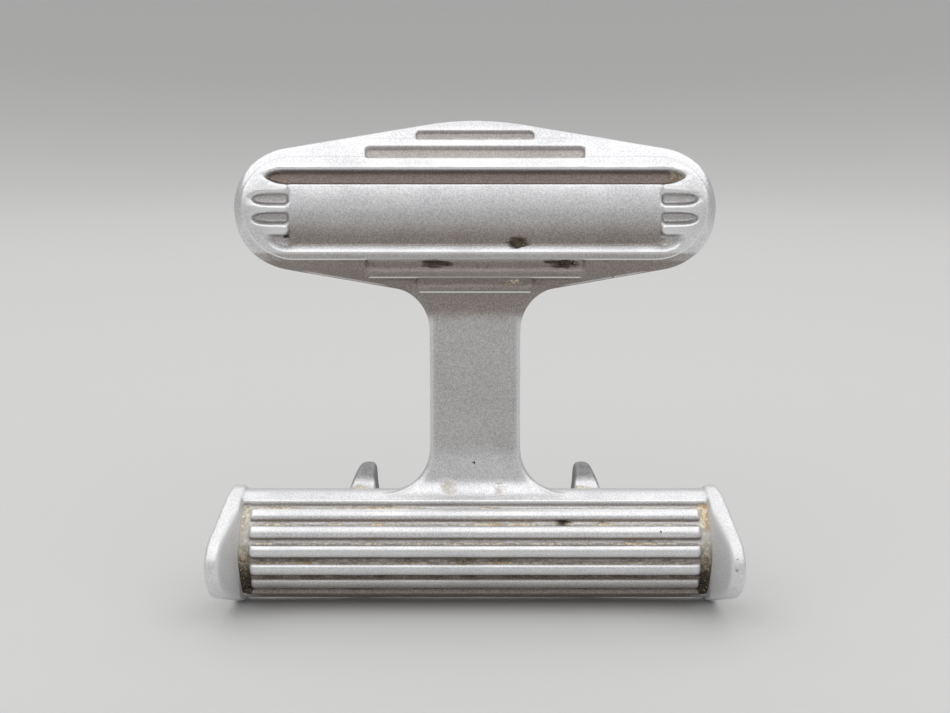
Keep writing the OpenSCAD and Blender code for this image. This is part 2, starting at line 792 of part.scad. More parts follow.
pedal_casting();
pivot_bush_left();
pivot_bush_right();
brake_lug_bush();
pivot_shaft();
thrust_washer_left();
thrust_washer_right();
retaining_ring_left();
retaining_ring_right();
brake_clevis();
clevis_pin();
clevis_washer();
cotter_pin();
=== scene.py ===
"""Dresses a cast rudder pedal with its toe brake hinge: worn alloy, settled dirt with painted shade and
highlights, and turned hardware.
"""

import logging
import math
from dataclasses import dataclass, field
from enum import Enum
from typing import Any

import bmesh
import bpy
import numpy as np
from mathutils import Matrix, Vector
from mathutils.kdtree import KDTree

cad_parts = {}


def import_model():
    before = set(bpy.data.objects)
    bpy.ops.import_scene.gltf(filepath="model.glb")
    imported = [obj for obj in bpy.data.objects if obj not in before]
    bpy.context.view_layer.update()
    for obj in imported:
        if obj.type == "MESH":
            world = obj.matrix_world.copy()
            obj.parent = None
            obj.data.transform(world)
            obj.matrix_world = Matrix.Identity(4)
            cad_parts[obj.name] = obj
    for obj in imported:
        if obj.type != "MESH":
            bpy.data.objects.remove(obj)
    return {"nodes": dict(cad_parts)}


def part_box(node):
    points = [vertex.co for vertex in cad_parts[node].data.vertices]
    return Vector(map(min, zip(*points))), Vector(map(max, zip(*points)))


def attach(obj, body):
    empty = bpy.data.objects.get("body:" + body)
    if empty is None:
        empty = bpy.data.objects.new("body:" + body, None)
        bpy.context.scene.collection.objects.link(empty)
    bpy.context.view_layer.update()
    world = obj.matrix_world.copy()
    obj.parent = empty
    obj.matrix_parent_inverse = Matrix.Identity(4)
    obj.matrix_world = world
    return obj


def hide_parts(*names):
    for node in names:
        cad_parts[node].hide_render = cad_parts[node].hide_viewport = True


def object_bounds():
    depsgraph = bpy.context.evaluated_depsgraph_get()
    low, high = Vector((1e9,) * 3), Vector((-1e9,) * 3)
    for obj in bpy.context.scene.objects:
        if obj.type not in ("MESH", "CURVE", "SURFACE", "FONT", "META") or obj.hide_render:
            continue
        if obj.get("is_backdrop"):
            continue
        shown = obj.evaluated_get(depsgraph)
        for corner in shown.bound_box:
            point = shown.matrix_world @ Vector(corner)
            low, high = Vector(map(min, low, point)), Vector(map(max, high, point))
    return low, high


log = logging.getLogger("rudder_pedal")

MM = 0.001
FLOAT_SOCKET = "NodeSocketFloat"
VECTOR_SOCKET = "NodeSocketVector"
DIRT_ROUGH = 0.9
WELD = 0.002 * MM
Socket = bpy.types.NodeSocket
Place = tuple[float, float, float]
Colour = tuple[float, float, float, float]
Span = tuple[float, float]
Pair = tuple[float, float]


class Body(Enum):
    """The bodies of the frame that pieces ride on."""

    PIVOT = "pivot"
    PEDAL = "pedal"
    BRAKE_LINK = "brake_link"


class Slot(Enum):
    """The record's material slots."""

    CAST_ALLOY = "cast_alloy"
    BRONZE = "bronze"
    STEEL = "steel"
    PLATED_STEEL = "plated_steel"


class Mark(Enum):
    """Names of the values that the casting's mesh carries for its finish."""

    GRIME = "grime"
    SAND = "sand"
    # Painted shade with some brown dirt: in the pad's relief, in the bar's grooves, on faces that look down
    # and low on the bar.
    SHADE_AND_DIRT = "shade_and_dirt"
    BLOOM = "bloom"
    EDGE = "edge"
    SKIN = "skin"


# Where the pedal sits


@dataclass(frozen=True)
class PedalAxes:
    """Where the leaned pedal sits: its own frame has its origin on the heel bar's axis and Z up the stem."""

    lean: float = math.radians(8.0)
    pivot_y: float = 20.0 * MM
    pivot_z: float = 4.0 * MM
    pad_z: float = 98.0 * MM
    pad_end_x: float = 51.5 * MM
    pad_end_r: float = 17.7 * MM
    pad_gable: float = math.radians(10.0)

    def turn(self) -> np.ndarray:
        """Returns the turn from the pedal's frame to the part's frame."""
        return np.array(Matrix.Rotation(-self.lean, 3, "X"))

    def local(self, points: np.ndarray) -> np.ndarray:
        """Takes points of the part's frame to the pedal's frame."""
        return points @ self.turn() + np.array([0.0, self.pivot_y, self.pivot_z])

    def local_turn(self, directions: np.ndarray) -> np.ndarray:
        """Takes directions of the part's frame to the pedal's frame."""
        return directions @ self.turn()

    def part(self, points: np.ndarray) -> np.ndarray:
        """Takes points of the pedal's frame to the part's frame."""
        return (points - np.array([0.0, self.pivot_y, self.pivot_z])) @ self.turn().T


# Node trees


class Wires:
    """Adds nodes to one tree and joins their sockets."""

    def __init__(self, tree: bpy.types.NodeTree) -> None:
        """Keeps a tree and empties it."""
        self.tree = tree
        tree.nodes.clear()

    def node(
        self,
        kind: str,
        inputs: dict[str | int, Any] | None = None,
        **settings: Any,
    ) -> bpy.types.Node:
        """Adds one node.

        Args:
            kind: Blender's name of the node type.
            inputs: values or output sockets for its inputs, by name or number.
            settings: the node's own properties.

        Returns:
            The new node.
        """
        made = self.tree.nodes.new(kind)
        for name, value in settings.items():
            setattr(made, name, value)
        for name, value in (inputs or {}).items():
            self.feed(made.inputs[name], value)
        return made

    def feed(self, socket: Socket, value: Any) -> None:
        """Links an output to a socket, or sets the socket's own value."""
        if isinstance(value, Socket):
            self.tree.links.new(value, socket)
        else:
            socket.default_value = value

    def math(self, operation: str, a: Any, b: Any = 0.0, clamp: bool = False) -> Socket:
        """Works out one sum of two values."""
        return self.node("ShaderNodeMath", {0: a, 1: b}, operation=operation, use_clamp=clamp).outputs[0]

    def noise(self, vector: Socket, scale: Any, detail: float = 3.0, rough: float = 0.55) -> Socket:
        """Puts out noise from 0 to 1 with features of about 1 / scale metres."""
        inputs = {"Vector": vector, "Scale": scale, "Detail": detail, "Roughness": rough}
        return self.node("ShaderNodeTexNoise", inputs).outputs[0]

    def ramp(self, value: Any, low: Any, high: Any, to_low: Any = 0.0, to_high: Any = 1.0) -> Socket:
        """Spreads a value from one range to another with soft ends."""
        inputs = {"Value": value, "From Min": low, "From Max": high, "To Min": to_low, "To Max": to_high}
        return self.node("ShaderNodeMapRange", inputs, interpolation_type="SMOOTHSTEP").outputs[0]

    def weigh(self, *parts: tuple[Socket, float]) -> Socket:
        """Adds up values, each times its weight."""
        total = self.math("MULTIPLY", *parts[0])
        for part in parts[1:]:
            total = self.math("ADD", total, self.math("MULTIPLY", *part))
        return total

    def mix(self, share: Any, a: Any, b: Any) -> Socket:
        """Mixes two values."""
        return self.node("ShaderNodeMix", {0: share, 2: a, 3: b}, data_type="FLOAT").outputs[0]

    def blend(self, share: Any, a: Any, b: Any) -> Socket:
        """Mixes two colours."""
        return self.node("ShaderNodeMix", {0: share, 6: a, 7: b}, data_type="RGBA").outputs[2]

    def length(self, a: Socket, b: Socket) -> Socket:
        """Works out the length of two values at a right angle."""
        return self.math("SQRT", self.math("ADD", self.math("POWER", a, 2.0), self.math("POWER", b, 2.0)))

    def bump(self, shader: bpy.types.Node, height: Socket, distance: float) -> None:
        """Gives a shader a fine relief of a height in metres."""
        made = self.node("ShaderNodeBump", {"Height": height, "Distance": distance, "Strength": 1.0})
        self.feed(shader.inputs["Normal"], made.outputs[0])


class SharedEffect:
    """A shader node group that several materials place with their own values."""

    def __init__(self, name: str, inputs: dict[str, tuple[str, Any]], outputs: dict[str, str]) -> None:
        """Makes the group's sockets.

        Args:
            name: the group's name.
            inputs: socket type and first value of each input.
            outputs: socket type of each output.
        """
        self.tree = bpy.data.node_groups.new(name, "ShaderNodeTree")
        self.wires = Wires(self.tree)
        for label, (kind, value) in inputs.items():
            socket = self.tree.interface.new_socket(label, in_out="INPUT", socket_type=kind)
            if value is not None:
                socket.default_value = value
        for label, kind in outputs.items():
            self.tree.interface.new_socket(label, in_out="OUTPUT", socket_type=kind)
        self.into = self.wires.node("NodeGroupInput").outputs
        self.out = self.wires.node("NodeGroupOutput").inputs

    def put_out(self, label: str, socket: Socket) -> None:
        """Joins a socket to one of the group's outputs."""
        self.tree.links.new(socket, self.out[label])

    def place(self, wires: Wires, inputs: dict[str, Any]) -> bpy.types.NodeOutputs:
        """Places the group in a material.

        Args:
            wires: the material's tree.
            inputs: values or sockets for the group's inputs.

        Returns:
            The placed group's outputs.
        """
        return wires.node("ShaderNodeGroup", inputs, node_tree=self.tree).outputs


class Effects:
    """The effects that the finishes share."""

    GREASE = ((0.014, 0.011, 0.009, 1.0), (0.085, 0.062, 0.043, 1.0))
    SAND = ((0.44, 0.33, 0.19, 1.0), (0.90, 0.86, 0.74, 1.0))
    RUST = (0.66, 0.42, 0.18, 1.0)
    GRAIN_SPAN = (0.38, 0.62)
    DRIFT_SPAN = (0.3, 0.7)
    DRIFT_HEIGHT = 0.4
    PATCH_SHARE = 0.16
    DIRT_UNEVEN = 0.75
    DIRT_SPAN = (0.34, 0.72)
    SPECK_SPAN = (0.38, 0.6)
    STAIN_SPAN = (0.5, 0.7)
    STAIN_MOST = 0.8
    CRUMB_SPAN = (0.4, 0.6)
    CRUMB_STAIN = (1.0, 0.25)

    def __init__(self) -> None:
        """Builds every group once."""
        self.grain = self._grain()
        self.dirt = self._dirt()
        self.turning = self._turning()

    def _grain(self) -> SharedEffect:
        """Fine speckle and slow drift of a metal surface."""
        made = SharedEffect(
            "metal_grain",
            {
                "Vector": (VECTOR_SOCKET, None),
                "Grain Scale": (FLOAT_SOCKET, 1400.0),
                "Drift Scale": (FLOAT_SOCKET, 70.0),
            },
            {"Grain": FLOAT_SOCKET, "Drift": FLOAT_SOCKET, "Height": FLOAT_SOCKET},
        )
        w, into = made.wires, made.into
        fine = w.noise(into["Vector"], into["Grain Scale"], detail=4.0, rough=0.7)
        slow = w.noise(into["Vector"], into["Drift Scale"])
        made.put_out("Grain", w.ramp(fine, *self.GRAIN_SPAN))
        made.put_out("Drift", w.ramp(slow, *self.DRIFT_SPAN))
        made.put_out("Height", w.math("ADD", fine, w.math("MULTIPLY", slow, self.DRIFT_HEIGHT)))
        return made

    def _dirt(self) -> SharedEffect:
        """Dry dirt that gathers where the amount is high, dark and greasy or pale and sandy by its tone."""
        made = SharedEffect(
            "settled_dirt",
            {
                "Vector": (VECTOR_SOCKET, None),
                "Amount": (FLOAT_SOCKET, 0.0),
                "Tone": (FLOAT_SOCKET, 0.0),
                "Scale": (FLOAT_SOCKET, 500.0),
            },
            {"Mask": FLOAT_SOCKET, "Color": "NodeSocketColor", "Height": FLOAT_SOCKET},
        )
        w, into = made.wires, made.into
        crumbs = w.noise(into["Vector"], into["Scale"], detail=5.0, rough=0.7)
        patches = w.noise(into["Vector"], w.math("MULTIPLY", into["Scale"], self.PATCH_SHARE))
        uneven = w.weigh((crumbs, self.DIRT_UNEVEN), (patches, self.DIRT_UNEVEN))
        reach = w.math("ADD", into["Amount"], w.math("SUBTRACT", uneven, self.DIRT_UNEVEN))
        made.put_out("Mask", w.ramp(reach, *self.DIRT_SPAN))
        speck = w.ramp(crumbs, *self.SPECK_SPAN)
        grease = w.blend(speck, *self.GREASE)
        sand = w.blend(speck, *self.SAND)
        stain = w.ramp(patches, *self.STAIN_SPAN, 0.0, self.STAIN_MOST)
        stain = w.math("MULTIPLY", stain, w.ramp(crumbs, *self.CRUMB_SPAN, *self.CRUMB_STAIN))
        rusty = w.blend(stain, sand, self.RUST)
        made.put_out("Color", w.blend(into["Tone"], grease, rusty))
        made.put_out("Height", crumbs)
        return made

    @staticmethod
    def _turning() -> SharedEffect:
        """Tool marks round an axis along X: rings on the faces and round the barrel."""
        made = SharedEffect(
            "turning_marks",
            {
                "Vector": (VECTOR_SOCKET, None),
                "Centre": (VECTOR_SOCKET, None),
                "Scale": (FLOAT_SOCKET, 3000.0),
            },
            {"Mark": FLOAT_SOCKET},
        )
        w, into = made.wires, made.into
        ends = {0: into["Vector"], 1: into["Centre"]}
        about = w.node("ShaderNodeVectorMath", ends, operation="SUBTRACT").outputs[0]
        along, side, up = w.node("ShaderNodeSeparateXYZ", {0: about}).outputs
        path = w.node("ShaderNodeCombineXYZ", {0: along, 1: w.length(side, up)}).outputs[0]
        made.put_out("Mark", w.noise(path, into["Scale"], detail=2.0, rough=0.6))
        return made


# Finishes


def new_material(name: str) -> tuple[bpy.types.Material, Wires, bpy.types.Node, Socket]:
    """Starts a material with its shader and object coordinates.

    Args:
        name: the material's name.

    Returns:
        The material, its tree, its shader node and the coordinate socket.
    """
    material = bpy.data.materials.new(name)
    material.use_nodes = True
    wires = Wires(material.node_tree)
    shader = wires.node("ShaderNodeBsdfPrincipled")
    output = wires.node("ShaderNodeOutputMaterial")
    wires.feed(output.inputs["Surface"], shader.outputs[0])
    place = wires.node("ShaderNodeTexCoord").outputs["Object"]
    return material, wires, shader, place


def soil_metal(
    w: Wires,
    shader: bpy.types.Node,
    metal: Socket,
    rough: Socket,
    soil: bpy.types.NodeOutputs,
) -> None:
    """Feeds a shader with a metal and the dirt that lies on it.

    Args:
        w: the material's tree.
        shader: its shader node.
        metal: colour of the clean metal.
        rough: roughness of the clean metal.
        soil: outputs of the placed dirt.
    """
    w.feed(shader.inputs["Base Color"], w.blend(soil["Mask"], metal, soil["Color"]))
    w.feed(shader.inputs["Metallic"], w.math("SUBTRACT", 1.0, soil["Mask"], clamp=True))
    w.feed(shader.inputs["Roughness"], w.mix(soil["Mask"], rough, DIRT_ROUGH))


@dataclass(frozen=True)
class CastAlloyFinish:
    """Old cast aluminium: hand polished in front, left as cast behind, with dirt and painted shade in its
    hollows and low faces, and painted highlight lines on the pad's lower edges.
    """

    axes: PedalAxes = field(default_factory=PedalAxes)
    polished: Colour = (0.87, 0.87, 0.88, 1.0)
    dulled: Colour = (0.57, 0.57, 0.585, 1.0)
    cast_light: Colour = (0.36, 0.36, 0.37, 1.0)
    cast_dark: Colour = (0.14, 0.138, 0.138, 1.0)
    bloom: Colour = (0.84, 0.84, 0.835, 1.0)
    # Brown colour of the painted shade, with some dirt, in hollows and on faces that look down.
    shade_and_dirt: Colour = (0.20, 0.158, 0.132, 1.0)
    # Bright colour of worn convex edges and of the painted highlight lines on the pad's lower edges.
    wear_and_highlight: Colour = (0.87, 0.87, 0.865, 1.0)
    pit: Colour = (0.05, 0.042, 0.036, 1.0)
    polished_rough: float = 0.37
    drift_rough: Pair = (0.06, -0.04)
    cast_rough: float = 0.66
    shade_and_dirt_rough: float = 0.5
    bloom_rough: float = 0.62
    covered_rough: float = 0.92
    grain_scale: float = 2100.0
    drift_scale: float = 60.0
    dirt_scale: float = 760.0
    sand_scale: float = 620.0
    tone_weights: Pair = (0.7, 0.3)
    cast_weights: tuple[float, float, float] = (0.6, 0.25, 0.15)
    bloom_share: float = 0.6
    shade_and_dirt_patches: Pair = (1.07, 0.91)
    cast_span: Span = (0.15, 0.85)
    pit_cells: float = 150.0
    pit_rarity: float = 0.82
    pit_least: float = 0.018
    pit_spread: float = 0.04
    pit_rag_scale: float = 3200.0
    pit_rag_span: Span = (0.3, 0.7)
    pit_rag: Pair = (0.5, 1.5)
    grain_height: float = 0.035 * MM
    sand_height: float = 7.0
    pit_height: float = 8.0
    dirt_height: float = 6.0
    rim_line: float = 14.45 * MM
    rim_fade: Span = (-6.0 * MM, 6.0 * MM)
    rib_lines: tuple[Pair, ...] = ((-19.65 * MM, 31.0 * MM), (-23.95 * MM, 16.6 * MM))
    rib_line_share: float = 0.9
    line_half_w: float = 0.16 * MM
    line_core: float = 0.5
    line_edge: float = 1.8
    flank_line: float = 0.45 * MM
    flank_start: Span = (24.0 * MM, 28.0 * MM)
    flank_share: float = 0.75
    flank_end: float = 46.0 * MM

    def make(self, effects: Effects) -> bpy.types.Material:
        """Builds the material.

        Args:
            effects: the shared groups.

        Returns:
            The new material.
        """
        material, w, shader, place = new_material("cast_alloy_worn")
        marks = {m: w.node("ShaderNodeAttribute", attribute_name=m.value).outputs["Fac"] for m in Mark}
        scales = {"Grain Scale": self.grain_scale, "Drift Scale": self.drift_scale}
        grain = effects.grain.place(w, {"Vector": place, **scales})
        amounts = {"Amount": marks[Mark.GRIME], "Tone": marks[Mark.SAND]}
        dirt = effects.dirt.place(w, {"Vector": place, "Scale": self.dirt_scale, **amounts})
        sand = w.noise(place, self.sand_scale, detail=5.0, rough=0.65)
        pits = self._pits(w, place)
        metal = self._metal(w, marks, grain, sand)
        # Painted highlight lines, partly wear, on the pad's lower edges, bright where the cast skin is not.
        lines = w.math("MULTIPLY", self._wear_and_highlight_lines(w, place), w.math("SUBTRACT", 1.0, marks[Mark.SKIN]))
        metal = w.blend(w.math("MAXIMUM", marks[Mark.EDGE], lines), metal, self.wear_and_highlight)
        metal = w.blend(pits, metal, self.pit)
        w.feed(shader.inputs["Base Color"], w.blend(dirt["Mask"], metal, dirt["Color"]))
        covered = w.math("MAXIMUM", dirt["Mask"], pits)
        matte = w.math("MAXIMUM", covered, w.math("MULTIPLY", marks[Mark.BLOOM], self.bloom_share))
        w.feed(shader.inputs["Metallic"], w.math("SUBTRACT", 1.0, matte, clamp=True))
        rough = self._rough(w, marks, grain["Drift"])
        w.feed(shader.inputs["Roughness"], w.mix(covered, rough, self.covered_rough))
        cast_grain = w.math("MULTIPLY", sand, marks[Mark.SKIN])
        crumbs = w.math("MULTIPLY", dirt["Height"], dirt["Mask"])
        height = w.math("ADD", grain["Height"], w.math("MULTIPLY", cast_grain, self.sand_height))
        height = w.math("SUBTRACT", height, w.math("MULTIPLY", pits, self.pit_height))
        height = w.math("ADD", height, w.math("MULTIPLY", crumbs, self.dirt_height))
        w.bump(shader, height, self.grain_height)
        return material

    def _metal(
        self,
        w: Wires,
        marks: dict[Mark, Socket],
        grain: bpy.types.NodeOutputs,
        sand: Socket,
    ) -> Socket:
        """Colour of the polished front and the cast skin with its brown painted shade, under any worn edge,
        painted highlight line or dirt.

        Args:
            w: the material's tree.
            marks: the mesh's own values.
            grain: outputs of the placed grain.
            sand: noise of the sand mould.

        Returns:
            The colour.
        """
        speckle = (grain["Grain"], grain["Drift"])
        metal = w.blend(w.weigh(*zip(speckle, self.tone_weights)), self.dulled, self.polished)
        metal = w.blend(w.math("MULTIPLY", marks[Mark.BLOOM], self.bloom_share), metal, self.bloom)
        patches = w.ramp(grain["Grain"], 0.0, 1.0, *self.shade_and_dirt_patches)
        # Brown painted shade, with some dirt, where the mesh's mark asks for it, patchy with the grain.
        metal = w.blend(w.math("MULTIPLY", marks[Mark.SHADE_AND_DIRT], patches), metal, self.shade_and_dirt)
        cast = w.weigh(*zip((sand, *speckle), self.cast_weights))
        cast = w.blend(w.ramp(cast, *self.cast_span), self.cast_dark, self.cast_light)
        return w.blend(marks[Mark.SKIN], metal, cast)

    def _rough(self, w: Wires, marks: dict[Mark, Socket], drift: Socket) -> Socket:
        """Roughness of the metal where no dirt lies on it."""
        low, high = (self.polished_rough + more for more in self.drift_rough)
        rough = w.mix(drift, low, high)
        rough = w.mix(marks[Mark.BLOOM], rough, self.bloom_rough)
        rough = w.mix(marks[Mark.SKIN], rough, self.cast_rough)
        return w.mix(marks[Mark.SHADE_AND_DIRT], rough, self.shade_and_dirt_rough)

    def _wear_and_highlight_lines(self, w: Wires, place: Socket) -> Socket:
        """Thin bright lines on the pad's lower edges: partly wear where feet and rags have rubbed them,
        partly painted highlight.

        Args:
            w: the material's tree.
            place: object coordinates.

        Returns:
            A mask that is 1 on a line.
        """
        up = (0.0, math.sin(self.axes.lean), math.cos(self.axes.lean))
        along = w.node("ShaderNodeVectorMath", {0: place, 1: up}, operation="DOT_PRODUCT")
        rise = w.math("ADD", along.outputs["Value"], self.axes.pivot_z - self.axes.pad_z)
        across = w.math("ABSOLUTE", w.node("ShaderNodeSeparateXYZ", {0: place}).outputs[0])
        beyond = w.math("MAXIMUM", w.math("SUBTRACT", across, self.axes.pad_end_x), 0.0)
        rim = self._line(w, w.length(beyond, rise), self.rim_line)
        lines = w.math("MULTIPLY", rim, w.ramp(rise, *self.rim_fade, 1.0, 0.0))
        sine, cosine = math.sin(self.axes.pad_gable), math.cos(self.axes.pad_gable)
        slant = w.math("SUBTRACT", w.math("MULTIPLY", across, sine), w.math("MULTIPLY", rise, cosine))
        flank = self._line(w, slant, self.axes.pad_end_r + self.axes.pad_end_x * sine - self.flank_line)
        flank = w.math("MULTIPLY", flank, w.ramp(across, *self.flank_start, 0.0, self.flank_share))
        flank = w.math("MULTIPLY", flank, w.ramp(across, self.flank_end, self.axes.pad_end_x, 1.0, 0.0))
        lines = w.math("MAXIMUM", lines, flank)
        for height, half_l in self.rib_lines:
            line = self._line(w, rise, height)
            line = w.math("MULTIPLY", line, w.ramp(across, half_l - MM, half_l, self.rib_line_share, 0.0))
            lines = w.math("MAXIMUM", lines, line)
        return lines

    def _line(self, w: Wires, value: Socket, at: float) -> Socket:
        """Returns a mask that is 1 where a value is close to a height."""
        away = w.math("ABSOLUTE", w.math("SUBTRACT", value, at))
        return w.ramp(away, self.line_core * self.line_half_w, self.line_edge * self.line_half_w, 1.0, 0.0)

    def _pits(self, w: Wires, place: Socket) -> Socket:
        """Scattered blow holes of a sand casting.

        Args:
            w: the material's tree.
            place: object coordinates.

        Returns:
            A mask that is 1 in a pit.
        """
        inputs = {"Vector": place, "Scale": self.pit_cells, "Randomness": 1.0}
        cells = w.node("ShaderNodeTexVoronoi", inputs).outputs
        parts = w.node("ShaderNodeSeparateColor", {0: cells["Color"]}).outputs
        chosen = w.math("GREATER_THAN", parts[0], self.pit_rarity)
        size = w.math("ADD", w.math("MULTIPLY", parts[1], self.pit_spread), self.pit_least)
        rag = w.ramp(w.noise(place, self.pit_rag_scale), *self.pit_rag_span, *self.pit_rag)
        inside = w.math("LESS_THAN", cells["Distance"], w.math("MULTIPLY", size, rag))
        return w.math("MULTIPLY", chosen, inside)


@dataclass(frozen=True)
class TurnedFinish:
    """Metal turned or ground round an axis along X."""

    name: str
    bright: Colour
    dull: Colour
    rough: float
    centre: Place = (0.0, 0.0, 0.0)
    dulled_rough: float = 0.1
    grain_scale: float = 1800.0
    drift_scale: float = 160.0
    tone_weights: Pair = (0.6, 0.4)
    mark_scale: float = 2600.0
    mark_height: float = 0.012 * MM
    grain_share: float = 0.3
    dirt: float = 0.12
    dirt_tone: float = 0.35
    dirt_scale: float = 700.0

    def make(self, effects: Effects) -> bpy.types.Material:
        """Builds the material.

        Args:
            effects: the shared groups.

        Returns:
            The new material.
        """
        material, w, shader, place = new_material(self.name)
        scales = {"Grain Scale": self.grain_scale, "Drift Scale": self.drift_scale}
        grain = effects.grain.place(w, {"Vector": place, **scales})
        turned = {"Vector": place, "Centre": self.centre, "Scale": self.mark_scale}
        marks = effects.turning.place(w, turned)["Mark"]
        amounts = {"Amount": self.dirt, "Tone": self.dirt_tone, "Scale": self.dirt_scale}
        soil = effects.dirt.place(w, {"Vector": place, **amounts})
        tone = w.weigh(*zip((grain["Drift"], marks), self.tone_weights))
        metal = w.blend(tone, self.dull, self.bright)
        rough = w.mix(grain["Drift"], self.rough + self.dulled_rough, self.rough)
        soil_metal(w, shader, metal, rough, soil)
        height = w.math("ADD", marks, w.math("MULTIPLY", grain["Grain"], self.grain_share))
        w.bump(shader, height, self.mark_height)
        return material


def turned_bronze(name: str, centre: Place = (0.0, 0.0, 0.0)) -> TurnedFinish:
    """Returns the bronze of bushes and washers, turned about a centre."""
    return TurnedFinish(name, (0.62, 0.43, 0.19, 1.0), (0.42, 0.28, 0.12, 1.0), 0.33, centre)


@dataclass(frozen=True)
class PlatedFinish:
    """Forged steel under a dull yellow plating."""

    name: str = "plated_steel_dull"
    plating: Colour = (0.66, 0.58, 0.38, 1.0)
    faded: Colour = (0.52, 0.51, 0.47, 1.0)
    rough: float = 0.36
    dulled_rough: float = 0.12
    grain_scale: float = 1300.0
    drift_scale: float = 220.0
    grain_height: float = 0.015 * MM
    dirt: float = 0.2
    dirt_tone: float = 0.4
    dirt_scale: float = 600.0

    def make(self, effects: Effects) -> bpy.types.Material:
        """Builds the material.

        Args:
            effects: the shared groups.

        Returns:
            The new material.
        """
        material, w, shader, place = new_material(self.name)
        scales = {"Grain Scale": self.grain_scale, "Drift Scale": self.drift_scale}
        grain = effects.grain.place(w, {"Vector": place, **scales})
        amounts = {"Amount": self.dirt, "Tone": self.dirt_tone, "Scale": self.dirt_scale}
        soil = effects.dirt.place(w, {"Vector": place, **amounts})
        metal = w.blend(grain["Drift"], self.faded, self.plating)
        rough = w.mix(grain["Grain"], self.rough + self.dulled_rough, self.rough)
        soil_metal(w, shader, metal, rough, soil)
        w.bump(shader, grain["Height"], self.grain_height)
        return material


@dataclass(frozen=True)
class GritFinish:
    """Loose sandy dirt that lies in the corners."""

    light: Colour = (0.62, 0.52, 0.36, 1.0)
    dark: Colour = (0.13, 0.09, 0.05, 1.0)
    tone_scale: float = 900.0
    tone_span: Span = (0.35, 0.65)

    def make(self) -> bpy.types.Material:
        """Builds the material, whose grains differ in colour."""
        material, w, shader, place = new_material("sandy_grit")
        tone = w.ramp(w.noise(place, self.tone_scale, detail=2.0), *self.tone_span)
        w.feed(shader.inputs["Base Color"], w.blend(tone, self.dark, self.light))
        shader.inputs["Roughness"].default_value = DIRT_ROUGH
        return material


@dataclass(frozen=True)
class FloorFinish:
    """Plain pale paper of the studio sweep."""

    colour: Colour = (0.60, 0.60, 0.595, 1.0)
    rough: float = 0.85

    def make(self) -> bpy.types.Material:
        """Builds the material."""
        material, _, shader, _ = new_material("studio_paper")
        shader.inputs["Base Color"].default_value = self.colour
        shader.inputs["Roughness"].default_value = self.rough
        return material


# Meshes


def points_of(mesh: bpy.types.Mesh) -> np.ndarray:
    """Returns a mesh's vertices as rows of x, y and z."""
    flat = np.empty(len(mesh.vertices) * 3)
    mesh.vertices.foreach_get("co", flat)
    return flat.reshape(-1, 3)


def normals_of(mesh: bpy.types.Mesh) -> np.ndarray:
    """Returns a mesh's vertex normals as rows."""
    flat = np.empty(len(mesh.vertices) * 3)
    mesh.vertex_normals.foreach_get("vector", flat)
    return flat.reshape(-1, 3)


def edges_of(mesh: bpy.types.Mesh) -> np.ndarray:
    """Returns the two vertices of each edge as rows."""
    flat = np.empty(len(mesh.edges) * 2, np.int64)
    mesh.edges.foreach_get("vertices", flat)
    return flat.reshape(-1, 2)


def set_points(mesh: bpy.types.Mesh, points: np.ndarray) -> None:
    """Moves a mesh's vertices."""
    mesh.vertices.foreach_set("co", points.ravel())
    mesh.update()


def relaxed(points: np.ndarray, edges: np.ndarray, share: np.ndarray, rounds: int) -> np.ndarray:
    """Moves points towards the mean of their neighbours.

    Args:
        points: rows of x, y and z.
        edges: the two points of each edge.
        share: part of the way that each point goes in one round.
        rounds: how often it is done.

    Returns:
        The moved points.
    """
    count = len(points)
    ends = np.concatenate([edges[:, 0], edges[:, 1]])
    others = np.concatenate([edges[:, 1], edges[:, 0]])
    valence = np.maximum(np.bincount(ends, minlength=count), 1)
    moved = points.copy()
    for _ in range(rounds):
        for axis in range(3):
            mean = np.bincount(ends, moved[others, axis], count) / valence
            moved[:, axis] += share * (mean - moved[:, axis])
    return moved


def smooth_step(value: np.ndarray, low: float, high: float) -> np.ndarray:
    """Returns a soft step from 0 at low to 1 at high."""
    t = np.clip((value - low) / (high - low), 0.0, 1.0)
    return t * t * (3.0 - 2.0 * t)


def step_over(value: np.ndarray, span: Span, start: float = 0.0) -> np.ndarray:
    """Returns a soft step from 0 to 1 over a span that is measured from a start."""
    return smooth_step(value, start + span[0], start + span[1])


def new_object(name: str, mesh: bpy.types.Mesh) -> bpy.types.Object:
    """Puts a mesh in the scene under a name."""
    made = bpy.data.objects.new(name, mesh)
    bpy.context.scene.collection.objects.link(made)
    return made


def merged_copy(node: bpy.types.Object, name: str) -> bpy.types.Object:
    """Copies a frame node with its loose triangles joined into one skin.

    Args:
        node: the frame's object.
        name: the copy's name.

    Returns:
        The new object, with flat faces in one piece.
    """
    skin = bmesh.new()
    skin.from_mesh(node.data)
    bmesh.ops.remove_doubles(skin, verts=skin.verts, dist=WELD)
    mesh = bpy.data.meshes.new(name)
    skin.to_mesh(mesh)
    skin.free()
    return new_object(name, mesh)


def settle(piece: bpy.types.Object) -> None:
    """Makes an object's modifiers part of its plain mesh."""
    graph = bpy.context.evaluated_depsgraph_get()
    mesh = bpy.data.meshes.new_from_object(piece.evaluated_get(graph), depsgraph=graph)
    old = piece.data
    piece.modifiers.clear()
    piece.data = mesh
    mesh.name = piece.name
    bpy.data.meshes.remove(old)


def dress(piece: bpy.types.Object, material: bpy.types.Material) -> None:
    """Gives every face of a piece one material."""
    piece.data.materials.clear()
    piece.data.materials.append(material)


